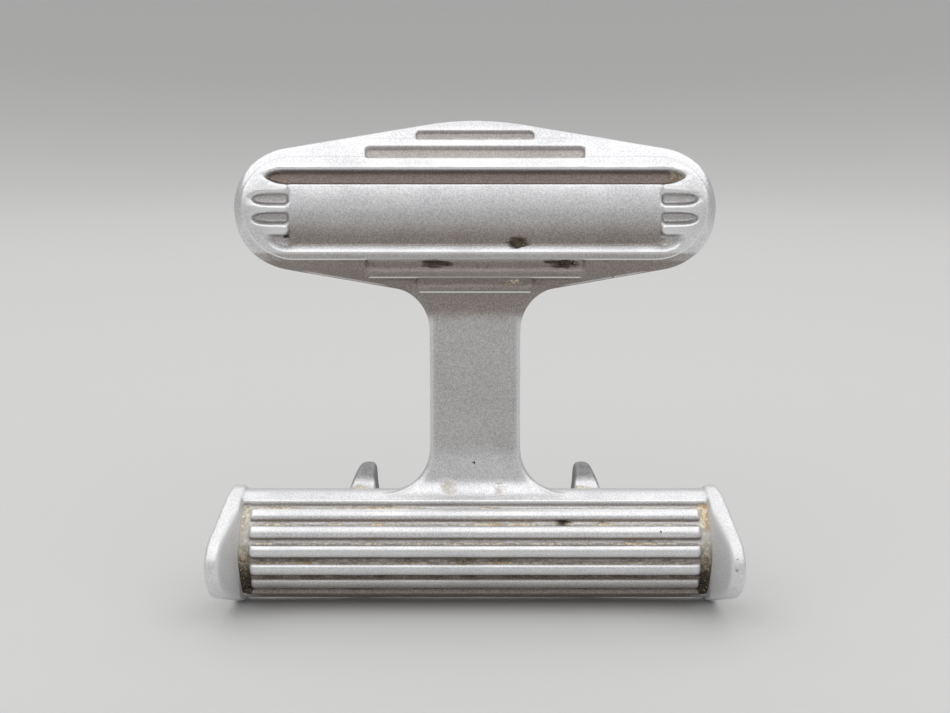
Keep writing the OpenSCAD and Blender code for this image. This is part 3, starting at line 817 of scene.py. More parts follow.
def enlist(piece: bpy.types.Object, body: Body, slot: Slot | None, *nodes: str) -> None:
    """Ties a finished piece to the frame and reports it.

    Args:
        piece: the object.
        body: what it moves with.
        slot: the record's material slot, if it has one; not used.
        nodes: frame nodes that it stands for.
    """
    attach(piece, body.value)
    if nodes:
        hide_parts(*nodes)
    log.info("%s rides on %s with %d faces", piece.name, body.value, len(piece.data.polygons))


def rounded_box(
    x: np.ndarray,
    z: np.ndarray,
    half_l: float,
    half_w: float,
    corner: float,
) -> np.ndarray:
    """Returns how far points lie outside a rectangle with round corners about the origin."""
    across, along = np.abs(x) - (half_l - corner), np.abs(z) - (half_w - corner)
    outside = np.hypot(np.maximum(across, 0.0), np.maximum(along, 0.0))
    return outside + np.minimum(np.maximum(across, along), 0.0) - corner


# The pedal


@dataclass(frozen=True)
class PadRelief:
    """Depth of the toe pad's sunk relief, over X and the height Z about the pad's middle."""

    panel_depth: float = 0.9 * MM
    panel_end: float = 53.4 * MM
    panel_top: float = 7.4 * MM
    panel_turn: float = -2.0 * MM
    floor_depth: float = 2.3 * MM
    floor_z: float = -10.6 * MM
    wall_top: float = -12.6 * MM
    low_end: float = 60.2 * MM
    groove_z: float = 9.35 * MM
    groove_half_w: float = 1.95 * MM
    groove_end: float = 60.2 * MM
    groove_depth: float = 2.5 * MM
    groove_tapers: Pair = (2.0, 3.0)
    run_out: float = 6.0
    slot_z: float = 2.78 * MM
    slot_half_w: float = 1.6 * MM
    slot_ends: Pair = (53.0 * MM, 63.5 * MM)
    slot_depth: float = 2.3 * MM
    slot_mouth: float = 0.55
    slot_blunt: float = 0.6
    finger_x: float = 54.7 * MM
    fingers: tuple[Pair, ...] = ((5.9 * MM, 1.5 * MM), (0.0, 1.25 * MM), (-6.1 * MM, 1.65 * MM))
    finger_foot: float = -7.75 * MM
    treads: tuple[tuple[float, float, float], ...] = (
        (16.2 * MM, 1.55 * MM, 31.4 * MM),
        (21.3 * MM, 1.3 * MM, 17.0 * MM),
    )
    tread_depth: float = 0.95 * MM
    tread_corner: float = 1.2 * MM
    crisp: float = 0.2 * MM
    soft: float = 0.6 * MM

    def depth(self, x: np.ndarray, z: np.ndarray) -> np.ndarray:
        """Adds up the relief.

        Args:
            x: places across the pad.
            z: heights about its middle.

        Returns:
            Depth below the pad's plain face.
        """
        across = np.abs(x)
        deep = np.maximum(self._panel(across, z), self._upper_groove(across, z))
        for row in (self.slot_z, -self.slot_z):
            deep = np.maximum(deep, self._slot(across, z - row))
        return np.maximum(deep, self.tread(x, z))

    def tread(self, x: np.ndarray, z: np.ndarray) -> np.ndarray:
        """Depth of the grooves across the pad's upper and lower borders."""
        deep = np.zeros(len(x))
        for height, half_w, half_l in self.treads:
            outside = rounded_box(x, np.abs(z) - height, half_l, half_w, self.tread_corner)
            deep = np.maximum(deep, 1.0 - smooth_step(outside, -self.crisp, self.crisp))
        return self.tread_depth * deep

    def _panel(self, across: np.ndarray, z: np.ndarray) -> np.ndarray:
        """Sunk panel, which sinks on into the lower groove and whose wall curls up round the last finger."""
        sunk = smooth_step(-z, -self.panel_turn, -self.floor_z)
        deep = self.panel_depth + (self.floor_depth - self.panel_depth) * sunk
        drop = self.finger_foot - self.wall_top
        below = np.maximum(self.finger_foot - z, 0.0) / drop
        beyond = np.maximum(across - self.panel_end, 0.0) / (self.low_end - self.panel_end)
        start = (self.finger_foot - self.floor_z) / drop
        deep *= 1.0 - smooth_step(np.hypot(below, beyond), start, 1.0)
        deep *= 1.0 - smooth_step(z, self.panel_top - self.soft, self.panel_top + self.soft)
        for height, half_w in self.fingers:
            away = np.hypot(np.maximum(self.finger_x - across, 0.0), z - height) - half_w
            deep *= smooth_step(away, -self.soft, self.soft)
        return deep

    def _upper_groove(self, across: np.ndarray, z: np.ndarray) -> np.ndarray:
        """Groove above the panel, which runs out to a point at each end."""
        run = np.clip((across - self.panel_end) / (self.groove_end - self.panel_end), 0.0, 1.0)
        low_taper, high_taper = self.groove_tapers
        low = self.groove_z - self.groove_half_w * (1.0 - run**low_taper)
        high = self.groove_z + self.groove_half_w * (1.0 - run**high_taper)
        inside = smooth_step(z, low - self.soft, low + self.crisp)
        inside *= 1.0 - smooth_step(z, high - self.soft, high + self.crisp)
        return inside * self.groove_depth * (1.0 - run**self.run_out)

    def _slot(self, across: np.ndarray, z: np.ndarray) -> np.ndarray:
        """Slot between two fingers, open to the panel and pointed at its outer end, with a soft lower lip."""
        low, high = self.slot_ends
        run = np.clip((across - low) / (high - low), 0.0, 1.0)
        open_end = np.clip((across - low) / self.slot_half_w, 0.0, 1.0)
        mouth = self.slot_mouth + (1.0 - self.slot_mouth) * np.sqrt(1.0 - (1.0 - open_end) ** 2)
        full = (1.0 - run**self.run_out) ** self.slot_blunt * mouth
        outside = np.abs(z) - self.slot_half_w * full
        soft = np.where(z < 0.0, self.soft, self.crisp)
        inside = 1.0 - smooth_step(outside, -soft, soft)
        inside *= smooth_step(across, low - self.soft, low + self.soft)
        return inside * self.slot_depth * np.sqrt(full)


@dataclass(frozen=True)
class DirtSpot:
    """A place on the pedal where more dirt or a dark stain lies, in the pedal's frame."""

    x: float
    y: float
    z: float
    reach: float
    amount: float
    sand: float = 0.0


@dataclass(frozen=True)
class CastShape:
    """The casting's main sizes in the pedal's frame, which both its skin and its wear follow."""

    axes: PedalAxes = field(default_factory=PedalAxes)
    relief: PadRelief = field(default_factory=PadRelief)
    bar_radii: tuple[float, ...] = (16.0 * MM, 14.0 * MM, 10.6 * MM)
    bar_top: float = 17.5 * MM
    cheek_x: float = 67.6 * MM
    cheek_rise: float = 4.0 * MM
    rib_half_l: float = 64.9 * MM
    pad_face_y: float = 21.5 * MM
    land_r: float = 35.0 * MM
    border_r: float = 34.4 * MM
    rib_r: float = 34.75 * MM
    back_r: float = 30.2 * MM
    pocket_r: float = 12.9 * MM
    pad_crown_r: float = 77.0 * MM
    pad_half_h: float = 25.87 * MM
    pad_foot: float = 69.0 * MM
    lug_y: float = 9.0 * MM
    foot_half_l: float = 28.0 * MM


@dataclass(frozen=True)
class CastZones:
    """The casting's vertices in the pedal's frame, and how much each of them lies in a zone."""

    local: np.ndarray
    facing: np.ndarray
    rise: np.ndarray
    hollow: np.ndarray
    skin: np.ndarray
    in_groove: np.ndarray
    low_lip: np.ndarray
    beside: np.ndarray
    tread: np.ndarray
    lower: np.ndarray
    under: np.ndarray
    # How low on the bar a vertex lies, which sets painted shade towards the bottom.
    dark: np.ndarray


@dataclass(frozen=True)
class Weathering:
    """How much dirt, wear and painted shade the casting's zones carry.

    A span says where a soft step starts and ends. A pair of shares is the least one and what the lower side
    of the bar adds to it, the added part being painted shade.
    """

    hollow_rounds: int = 90
    hollow_share: float = 0.5
    hollow_depth: float = 0.55 * MM
    rear_facing: Span = (-0.1, 0.5)
    lug_span: Span = (-3.0 * MM, 0.0)
    lug_rise: float = 6.0 * MM
    flank_span: Span = (-1.5 * MM, 2.5 * MM)
    flank_rise: float = 2.0 * MM
    shell_margin: float = 0.4 * MM
    groove_limits: Span = (13.0 * MM, 15.9 * MM)
    groove_span: Span = (14.6 * MM, 15.6 * MM)
    lip_facing: Span = (0.1, 0.7)
    roof_facing: Span = (-0.25, 0.35)
    beside_start: Span = (-0.7 * MM, 0.6 * MM)
    beside_end: Span = (-0.5 * MM, 1.2 * MM)
    lower_steps: tuple[tuple[float, Span], ...] = (
        (0.7, (12.2 * MM, 13.2 * MM)),
        (0.3, (14.4 * MM, 15.4 * MM)),
    )
    lower_foot: Span = (-5.0 * MM, 0.0)
    under_span: Span = (6.0 * MM, 13.0 * MM)
    under_end: float = 1.0 * MM
    # Where the painted shade towards the bottom of the bar starts and ends.
    low_shade_span: Span = (-6.0 * MM, 9.0 * MM)
    sunk_span: Span = (1.1 * MM, 1.9 * MM)
    # Strengths of the painted shade: under the upper groove, in the slots and treads with some dirt, on the
    # panel growing towards its bottom, in the bar's grooves with dirt, on groove faces that look down, on the
    # pad's lower steps, on the stem's front and low on the bar's front.
    upper_rise: float = 6.5 * MM
    upper_groove_shade: float = 0.97
    slot_dirt_and_shade: float = 0.4
    panel_low_shade: float = 0.78
    panel_fade: Span = (-2.0 * MM, 9.0 * MM)
    panel_floor: Span = (0.5 * MM, 0.8 * MM)
    panel_wall: Span = (10.5 * MM, 11.1 * MM)
    face_facing: Span = (0.93, 0.985)
    face_span: Span = (24.0 * MM, 30.0 * MM)
    groove_dirt_and_low_shade: Pair = (0.22, 0.73)
    roof_shade: float = 0.8
    lower_step_shade: float = 0.8
    tread_dirt_and_shade: float = 0.62
    stem_face_shade: float = 0.34
    under_shade: float = 0.8
    # Dirt amounts; what a pair adds low on the bar is painted shade.
    hollow_grime: float = 0.12
    groove_grime_and_low_shade: Pair = (0.24, 0.14)
    lip_grime: float = 0.22
    tread_grime: float = 0.2
    beside_grime_and_low_shade: Pair = (0.1, 0.62)
    rear_grime: float = 0.26
    # The loss darkens the lips' dirt low on the bar, which is painted shade.
    lip_sand: float = 1.2
    lip_sand_low_shade: float = 0.7
    spot_core: float = 0.3
    edge_gain: float = 0.7
    edge_start: float = 0.2
    edge_limit: float = 0.8
    edge_skin_loss: float = 0.5
    edge_lower_loss: float = 0.85
    edge_under_loss: float = 0.9
    edge_gap: Span = (0.4 * MM, 1.6 * MM)
    cheek_span: Span = (-0.5 * MM, 0.5 * MM)
    inner_facing: Span = (0.3, 0.8)
    inner_bloom: float = 0.5
    cheek_bloom: float = 0.12
    beside_bloom: float = 0.6
    plain_bloom: float = 0.05
    spots: tuple[DirtSpot, ...] = (
        DirtSpot(-33.0 * MM, 2.0 * MM, 16.0 * MM, 6.0 * MM, 0.66, 1.0),
        DirtSpot(32.0 * MM, 2.0 * MM, 16.0 * MM, 5.0 * MM, 0.6, 1.0),
        DirtSpot(-7.5 * MM, -5.5 * MM, 17.3 * MM, 5.0 * MM, 0.52, 1.0),
        DirtSpot(8.0 * MM, -5.5 * MM, 17.3 * MM, 5.0 * MM, 0.46, 1.0),
        DirtSpot(24.9 * MM, -11.9 * MM, 7.4 * MM, 2.0 * MM, 0.8),
        DirtSpot(-3.0 * MM, -13.8 * MM, -2.6 * MM, 3.4 * MM, 0.4, 0.2),
        DirtSpot(58.0 * MM, -9.6 * MM, 107.3 * MM, 4.5 * MM, 0.46, 0.5),
        DirtSpot(56.5 * MM, -9.6 * MM, 88.0 * MM, 4.0 * MM, 0.34, 0.6),
        DirtSpot(-56.5 * MM, -9.6 * MM, 88.0 * MM, 3.5 * MM, 0.26, 0.6),
        DirtSpot(11.0 * MM, -4.3 * MM, 76.8 * MM, 3.6 * MM, 0.4, 0.8),
        DirtSpot(-54.0 * MM, -10.8 * MM, 90.2 * MM, 1.3 * MM, 0.9),
        DirtSpot(12.2 * MM, -10.6 * MM, 88.3 * MM, 3.2 * MM, 0.95),
        DirtSpot(8.6 * MM, -10.8 * MM, 88.9 * MM, 1.2 * MM, 0.8),
        DirtSpot(-12.4 * MM, -8.4 * MM, 82.6 * MM, 3.0 * MM, 0.8),
        DirtSpot(-8.0 * MM, -8.4 * MM, 82.7 * MM, 2.0 * MM, 0.7),
        DirtSpot(22.5 * MM, -8.4 * MM, 82.6 * MM, 2.4 * MM, 0.8),
        DirtSpot(26.0 * MM, -8.2 * MM, 82.2 * MM, 2.4 * MM, 0.8),
    )

    def marks(self, shape: CastShape, mesh: bpy.types.Mesh, depth: np.ndarray) -> dict[Mark, np.ndarray]:
        """Works out where dirt settles, where shade is painted, where edges wear and where the cast skin is
        left.

        Args:
            shape: the casting's sizes.
            mesh: the carved skin.
            depth: depth of the pad's relief at each vertex.

        Returns:
            A value from 0 to 1 for each vertex and mark.
        """
        zones = self._zones(shape, mesh)
        grime, sand = self._dirt(zones)
        return {
            Mark.GRIME: grime,
            Mark.SAND: sand,
            Mark.SHADE_AND_DIRT: self._painted_shade_and_dirt(shape, zones, depth),
            Mark.BLOOM: self._bloom(shape, zones),
            Mark.EDGE: self._edge(shape, zones),
            Mark.SKIN: zones.skin,
        }

    def _zones(self, shape: CastShape, mesh: bpy.types.Mesh) -> CastZones:
        """Sorts the vertices into zones."""
        points, normals = points_of(mesh), normals_of(mesh)
        share = np.full(len(points), self.hollow_share)
        broad = relaxed(points, edges_of(mesh), share, self.hollow_rounds)
        local, facing = shape.axes.local(points), shape.axes.local_turn(normals)
        across, y, z = np.abs(local[:, 0]), local[:, 1], local[:, 2]
        rise, bar_r = z - shape.axes.pad_z, np.hypot(y, z)
        least_r, most_r = self.groove_limits
        ahead = (z < shape.bar_top) & (y < shape.lug_y + self.lug_span[0])
        on_bar = ahead & (bar_r < most_r)
        in_groove = on_bar * (1.0 - step_over(bar_r, self.groove_span)) * (bar_r > least_r)
        beside = step_over(across, self.beside_start, shape.rib_half_l)
        beside *= (1.0 - step_over(across, self.beside_end, shape.cheek_x)) * on_bar
        under = ahead & (across < shape.rib_half_l + self.under_end)
        lower = sum(weight * step_over(-rise, span) for weight, span in self.lower_steps)
        tread = shape.relief.tread(local[:, 0], rise) / shape.relief.tread_depth
        return CastZones(
            local=local,
            facing=facing,
            rise=rise,
            hollow=((broad - points) * normals).sum(axis=1) / self.hollow_depth,
            skin=self._skin(shape, local, facing),
            in_groove=in_groove,
            low_lip=in_groove * step_over(facing[:, 2], self.lip_facing),
            beside=beside,
            tread=tread * (z > shape.pad_foot),
            lower=lower * step_over(z, self.lower_foot, shape.pad_foot),
            under=under * step_over(-z, self.under_span),
            # How low a vertex lies on the bar, for the painted shade towards the bottom.
            dark=step_over(-z, self.low_shade_span),
        )

    def _skin(self, shape: CastShape, local: np.ndarray, facing: np.ndarray) -> np.ndarray:
        """Rough cast skin: what faces back, the lugs, and the flanks of the stem and its flanges."""
        y, z = local[:, 1], local[:, 2]
        behind = step_over(facing[:, 1], self.rear_facing)
        lug = step_over(y, self.lug_span, shape.lug_y) * (z < shape.bar_top + self.lug_rise)
        flank = step_over(y, self.flank_span) * (z > shape.bar_top + self.flank_rise) * (z < shape.axes.pad_z)
        pad_r = np.hypot(y - shape.pad_face_y, z - shape.axes.pad_z)
        within = (pad_r < shape.back_r - self.shell_margin) * (z > shape.pad_foot)
        return np.maximum.reduce([behind, lug, flank, within])

    def _painted_shade_and_dirt(self, shape: CastShape, zones: CastZones, depth: np.ndarray) -> np.ndarray:
        """Brown painted shade, with some dirt in the slots, treads and grooves: in the sunk relief, in the
        bar's grooves, on faces that look down, on the pad's lower steps, on the stem's front and low on the
        bar.
        """
        across, z, rise = np.abs(zones.local[:, 0]), zones.local[:, 2], zones.rise
        sunk = step_over(depth, self.sunk_span)
        # Painted shade under the upper groove's overhang; in the slots, painted shade with some dirt.
        sunk *= np.where(rise > self.upper_rise, self.upper_groove_shade, self.slot_dirt_and_shade)
        # The panel's painted shade grows towards its bottom.
        panel = self.panel_low_shade * step_over(-rise, self.panel_fade) * step_over(depth, self.panel_floor)
        panel *= 1.0 - step_over(-rise, self.panel_wall)
        sunk = np.where((across < shape.relief.panel_end) & (rise < 0.0), panel, sunk)
        # Bar grooves: dirt, with painted shade growing towards the bottom; faces there that look down get
        # painted shade.
        least, added = self.groove_dirt_and_low_shade
        groove = zones.in_groove * (least + added * zones.dark)
        roof = zones.in_groove * step_over(-zones.facing[:, 2], self.roof_facing)
        # The stem's front face gets painted shade.
        face = step_over(-zones.facing[:, 1], self.face_facing) * step_over(z, self.face_span)
        face *= z < shape.pad_foot
        # The pad's lower steps and the bar's lower front get painted shade too.
        shade_parts = (
            sunk,
            groove,
            self.roof_shade * roof,
            self.lower_step_shade * zones.lower,
            self.tread_dirt_and_shade * zones.tread,
            self.stem_face_shade * face,
            self.under_shade * zones.under,
        )
        return np.maximum.reduce(shade_parts) * (1.0 - zones.skin)

    def _dirt(self, zones: CastZones) -> tuple[np.ndarray, np.ndarray]:
        """Amount of dirt in the corners and spots, and how sandy it is; low on the bar the dirt is thicker
        and darker, which is painted shade.
        """
        hollow, dark = np.clip(zones.hollow, 0.0, 1.0), zones.dark
        grime = self.hollow_grime * hollow + self.rear_grime * hollow * zones.skin
        grime += self.lip_grime * zones.low_lip + self.tread_grime * zones.tread
        # Grime added low in the grooves and in the band beside the cheeks is painted shade.
        for zone, (least, added) in ((zones.in_groove, self.groove_grime_and_low_shade), (zones.beside, self.beside_grime_and_low_shade)):
            grime += zone * (least + added * dark)
        # The lips' and the band's dirt turns dark low on the bar, which is painted shade.
        sand = self.lip_sand * zones.low_lip * (1.0 - self.lip_sand_low_shade * dark)
        sand += zones.beside * (1.0 - dark) + zones.tread * (zones.rise > 0.0)
        sand = np.clip(sand, 0.0, 1.0)
        for spot in self.spots:
            away = np.linalg.norm(zones.local - np.array([spot.x, spot.y, spot.z]), axis=1)
            near = 1.0 - smooth_step(away, self.spot_core * spot.reach, spot.reach)
            grime += spot.amount * near
            sand += near * (spot.sand - sand)
        return np.clip(grime, 0.0, 1.0), sand

    def _edge(self, shape: CastShape, zones: CastZones) -> np.ndarray:
        """Bright wear on the raised edges, apart from the panel's upper one."""
        edge = np.clip(-zones.hollow * self.edge_gain - self.edge_start, 0.0, self.edge_limit)
        edge *= (1.0 - self.edge_skin_loss * zones.skin) * (1.0 - self.edge_lower_loss * zones.lower)
        apart = np.abs(zones.rise - shape.relief.panel_top)
        return edge * step_over(apart, self.edge_gap) * (1.0 - self.edge_under_loss * zones.under)

    def _bloom(self, shape: CastShape, zones: CastZones) -> np.ndarray:
        """Chalky bloom on the cheeks and beside the ribs."""
        x, z = zones.local[:, 0], zones.local[:, 2]
        cheek = step_over(np.abs(x), self.cheek_span, shape.cheek_x)
        cheek *= z < shape.bar_top + shape.cheek_rise
        inner = cheek * step_over(-zones.facing[:, 0] * np.sign(x), self.inner_facing)
        bloom = self.inner_bloom * inner + self.cheek_bloom * cheek
        bloom += self.beside_bloom * zones.beside + self.plain_bloom
        return np.clip(bloom, 0.0, 1.0) * (1.0 - zones.skin)


@dataclass(frozen=True)
class PedalCasting(CastShape):
    """The cast pedal: heel bar, cheeks, stem and toe pad in one skin with eased edges.

    An ease is how far the rounding of an edge reaches, and a span says where a soft step starts and
    ends. The roots are boxes that fill the corners behind the pad at the stem's flanges.
    """

    weathering: Weathering = field(default_factory=Weathering)
    cell: float = 0.38 * MM
    triangles: int = 190_000
    pocket_rows: int = 61
    tread_rows: int = 13
    tread_margin: float = 0.1 * MM
    tread_end_margin: float = 0.3 * MM
    fill_sink: float = 1.0 * MM
    root_x: Span = (9.05 * MM, 13.15 * MM)
    root_y: tuple[Span, ...] = ((-9.8 * MM, -7.2 * MM), (-7.9 * MM, -5.8 * MM))
    root_z: tuple[Span, ...] = ((90.0 * MM, 105.0 * MM), (85.2 * MM, 93.5 * MM))
    round_facing: float = 0.97
    round_near: float = 0.09 * MM
    rib_pitch: float = math.radians(21.5)
    rib_half_angle: float = math.radians(6.1)
    rib_count: int = 5
    rib_crown: float = 0.45 * MM
    rib_end: float = 1.4 * MM
    rib_margin: float = 0.2 * MM
    ease_rounds: int = 48
    ease_limit: float = 0.6
    groove_ease: float = 0.56 * MM
    face_ease: float = 0.2 * MM
    rim_ease: float = 0.95 * MM
    rim_rear_ease: float = 1.7 * MM
    stem_ease: float = 1.35 * MM
    cheek_ease: float = 1.5 * MM
    horn_ease: float = 2.3 * MM
    rear_ease: float = 0.55 * MM
    bore_ease: float = 0.12 * MM
    pad_span: Span = (-1.0 * MM, 2.0 * MM)
    rim_span: Span = (1.1 * MM, 2.0 * MM)
    rim_margin: float = 1.0 * MM
    foot_drop: float = 2.5 * MM
    stem_span: float = 3.0 * MM
    cheek_span: Span = (-1.0 * MM, 1.0 * MM)
    rear_span: Span = (-2.0 * MM, 0.0)
    horn_x: float = 25.0 * MM
    horn_span: Span = (13.0 * MM, 17.0 * MM)
    horn_top: float = 24.0 * MM
    horn_lift: float = 1.4 * MM
    bores: tuple[tuple[float, float, float], ...] = (
        (20.0 * MM, 4.0 * MM, 9.0 * MM),
        (22.4 * MM, 46.0 * MM, 7.0 * MM),
    )
    bore_span: float = 1.5 * MM
    wave_height: float = 0.03 * MM
    waves: tuple[tuple[Place, float], ...] = (
        ((310.0, 170.0, 250.0), 0.3),
        ((-220.0, 330.0, 410.0), 1.9),
        ((520.0, -90.0, 130.0), 4.1),
    )
    carve_facing: Span = (0.3, 0.6)
    carve_least: float = 0.02 * MM
    carve_share: float = 0.35
    carve_rounds: int = 2

    def build(self, node: bpy.types.Object) -> bpy.types.Object:
        """Makes the casting's skin.

        Args:
            node: the frame's casting.

        Returns:
            The finished object without a material.
        """
        piece = merged_copy(node, "cast_pedal")
        self._fill(piece.data)
        remesh = piece.modifiers.new("skin", "REMESH")
        remesh.mode = "VOXEL"
        remesh.voxel_size = self.cell
        settle(piece)
        self._true_rounds(piece.data)
        self._crown_ribs(piece.data)
        self._ease(piece.data)
        depth = self._carve(piece.data)
        marks = self.weathering.marks(self, piece.data, depth)
        fine = points_of(piece.data)
        thin = piece.modifiers.new("thin", "DECIMATE")
        thin.ratio = min(1.0, self.triangles / (2.0 * len(piece.data.polygons)))
        settle(piece)
        self._carry(piece.data, fine, marks)
        piece.data.shade_smooth()
        return piece

    def _fill(self, mesh: bpy.types.Mesh) -> None:
        """Fills the pad's grooves and pocket, so that the relief can be carved into a plain face."""
        skin = bmesh.new()
        skin.from_mesh(mesh)
        heights = np.linspace(-self.pocket_r, self.pocket_r, self.pocket_rows)
        ends = self.axes.pad_end_x + np.sqrt(np.maximum(self.pocket_r**2 - heights**2, 0.0))
        self._bar(skin, heights, ends, self.land_r)
        for height, half_w, half_l in self.relief.treads:
            rows = np.linspace(-half_w - self.tread_margin, half_w + self.tread_margin, self.tread_rows)
            ends = np.full(len(rows), half_l + self.tread_end_margin)
            for side in (-1.0, 1.0):
                self._bar(skin, side * height + rows, ends, self.border_r)
        for side in (-1.0, 1.0):
            for y_range, z_range in zip(self.root_y, self.root_z):
                self._root(skin, side, np.array([self.root_x, y_range, z_range]))
        skin.to_mesh(mesh)
        skin.free()

    def _root(self, skin: bmesh.types.BMesh, side: float, box: np.ndarray) -> None:
        """Fills a length of the corner where a stem flange meets the pad's back.

        Args:
            skin: the mesh to add to.
            side: -1 for the left flange, 1 for the right one.
            box: low and high end of the fill along each axis, on the right.
        """
        low, high = box[:, 0], box[:, 1]
        shape = bmesh.ops.create_cube(skin, size=1.0)["verts"]
        for vert in shape:
            share = np.array(vert.co) + 0.5
            place = low + share * (high - low)
            vert.co = self.axes.part(np.array([place * np.array([side, 1.0, 1.0])]))[0]
        if side < 0.0:
            faces = {face for vert in shape for face in vert.link_faces}
            bmesh.ops.reverse_faces(skin, faces=list(faces))

    def _bar(
        self,
        skin: bmesh.types.BMesh,
        heights: np.ndarray,
        ends: np.ndarray,
        front_r: float,
    ) -> None:
        """Adds a closed bar that follows the pad's round.

        Args:
            skin: the mesh to add to.
            heights: rows about the pad's middle.
            ends: half length of each row.
            front_r: radius of its front.
        """
        rear_r = self.back_r + self.fill_sink
        rows = []
        for height, end in zip(heights, ends):
            corners = []
            for side, radius in ((-1.0, front_r), (1.0, front_r), (1.0, rear_r), (-1.0, rear_r)):
                y = self.pad_face_y - math.sqrt(radius**2 - height**2)
                place = np.array([[side * end, y, self.axes.pad_z + height]])
                corners.append(skin.verts.new(self.axes.part(place)[0]))
            rows.append(corners)
        for low, high in zip(rows, rows[1:]):
            for i in range(4):
                skin.faces.new((low[i], low[(i + 1) % 4], high[(i + 1) % 4], high[i]))
        skin.faces.new(rows[0][::-1])
        skin.faces.new(rows[-1])

    def _true_rounds(self, mesh: bpy.types.Mesh) -> None:
        """Takes the facets off the bar's and the pad's round faces."""
        local = self.axes.local(points_of(mesh))
        normals = self.axes.local_turn(normals_of(mesh))
        pad_radii = (self.land_r, self.rib_r, self.border_r, self.back_r)
        rounds = (
            ((0.0, 0.0), self.bar_radii, local[:, 2] < self.bar_top),
            ((self.pad_face_y, self.axes.pad_z), pad_radii, local[:, 2] > self.pad_foot),
        )
        for middle, radii, mine in rounds:
            arm = local[:, 1:] - np.array(middle)
            reach = np.linalg.norm(arm, axis=1)
            facing = np.abs((arm * normals[:, 1:]).sum(axis=1)) / np.maximum(reach, MM)
            for radius in radii:
                near = mine & (facing > self.round_facing) & (np.abs(reach - radius) < self.round_near)
                local[near, 1:] += arm[near] * (radius / reach[near] - 1.0)[:, None]
        set_points(mesh, self.axes.part(local))

    def _crown_ribs(self, mesh: bpy.types.Mesh) -> None:
        """Rounds the heel bar's ribs across their width and towards their ends."""
        local = self.axes.local(points_of(mesh))
        across, reach = np.abs(local[:, 0]), np.hypot(local[:, 1], local[:, 2])
        angle = np.arctan2(local[:, 2], -local[:, 1])
        nearest = np.round(angle / self.rib_pitch)
        aside = np.clip((angle - nearest * self.rib_pitch) / self.rib_half_angle, -1.0, 1.0)
        ribbed = (np.abs(nearest) <= self.rib_count // 2) & (across < self.rib_half_l + self.rib_margin)
        ending = np.clip((across - self.rib_half_l + self.rib_end) / self.rib_end, 0.0, 1.0)
        top_r, floor_r = self.bar_radii[:2]
        raised = np.clip((reach - floor_r) / (top_r - floor_r), 0.0, 1.0)
        raised *= reach < top_r + self.rib_margin
        drop = self.rib_crown * (aside**2 + ending**2) * raised * ribbed
        local[:, 1:] *= (1.0 - drop / np.maximum(reach, MM))[:, None]
        set_points(mesh, self.axes.part(local))

    def _inset(self, local: np.ndarray) -> np.ndarray:
        """Returns how far points lie inside the pad's front outline."""
        x, z = np.abs(local[:, 0]), np.abs(local[:, 2] - self.axes.pad_z)
        sine, cosine = math.sin(self.axes.pad_gable), math.cos(self.axes.pad_gable)
        gable = self.axes.pad_end_r + self.axes.pad_end_x * sine - (x * sine + z * cosine)
        crown = self.pad_crown_r - np.hypot(x, z - (self.pad_half_h - self.pad_crown_r))
        end = self.axes.pad_end_r - np.hypot(x - self.axes.pad_end_x, z)
        flank = np.where(x < self.pad_crown_r * sine, crown, gable)
        return np.where(x > self.axes.pad_end_x, end, flank)

    def _ease(self, mesh: bpy.types.Mesh) -> None:
        """Rounds the edges, each by what the real casting has there, and adds a hand-finished wave."""
        points = points_of(mesh)
        local = self.axes.local(points)
        y, z = local[:, 1], local[:, 2]
        behind = step_over(y, self.rear_span, self.lug_y) * (z < self.pad_foot)
        horn = behind * step_over(z, self.horn_span) * (z < self.horn_top)
        horn *= np.abs(local[:, 0]) > self.horn_x
        reach = self._front_ease(local)
        reach += behind * (self.rear_ease - reach)
        reach += horn * (self.horn_ease - reach)
        for bore_y, bore_z, radius in self.bores:
            away = np.hypot(y - bore_y, z - bore_z)
            near = 1.0 - smooth_step(away, radius, radius + self.bore_span)
            reach += near * behind * (self.bore_ease - reach)
        points[:, 2] += horn * self.horn_lift
        share = np.clip(2.0 * reach**2 / (self.ease_rounds * self.cell**2), 0.0, self.ease_limit)
        points = relaxed(points, edges_of(mesh), share, self.ease_rounds)
        set_points(mesh, points)
        wave = sum(np.sin(points @ np.array(way) + phase) for way, phase in self.waves)
        sink = self.wave_height * (wave / len(self.waves) - 1.0) * (1.0 - behind)
        set_points(mesh, points + normals_of(mesh) * sink[:, None])

    def _front_ease(self, local: np.ndarray) -> np.ndarray:
        """Rounding of the bar's grooves, the pad, its rim, the stem and the cheeks."""
        across, y, z = np.abs(local[:, 0]), local[:, 1], local[:, 2]
        reach = np.full(len(local), self.groove_ease)
        rim = 1.0 - step_over(self._inset(local), self.rim_span)
        on_pad = step_over(z, self.pad_span, self.pad_foot)
        reach += on_pad * (self.face_ease - self.groove_ease)
        reach += on_pad * rim * (self.rim_ease - self.face_ease)
        turned = np.hypot(y - self.pad_face_y, z - self.axes.pad_z)
        front = smooth_step(turned, self.back_r + self.rim_margin, self.border_r - self.rim_margin)
        reach += on_pad * rim * (1.0 - front) * (self.rim_rear_ease - self.rim_ease)
        foot = self.bar_top - self.foot_drop * (across < self.foot_half_l)
        on_stem = smooth_step(z, foot, foot + self.stem_span) * (1.0 - on_pad)
        reach += on_stem * (self.stem_ease - self.groove_ease)
        on_cheek = step_over(across, self.cheek_span, self.cheek_x)
        on_cheek *= z < self.bar_top + self.cheek_rise
        reach += on_cheek * (self.cheek_ease - self.groove_ease)
        return reach

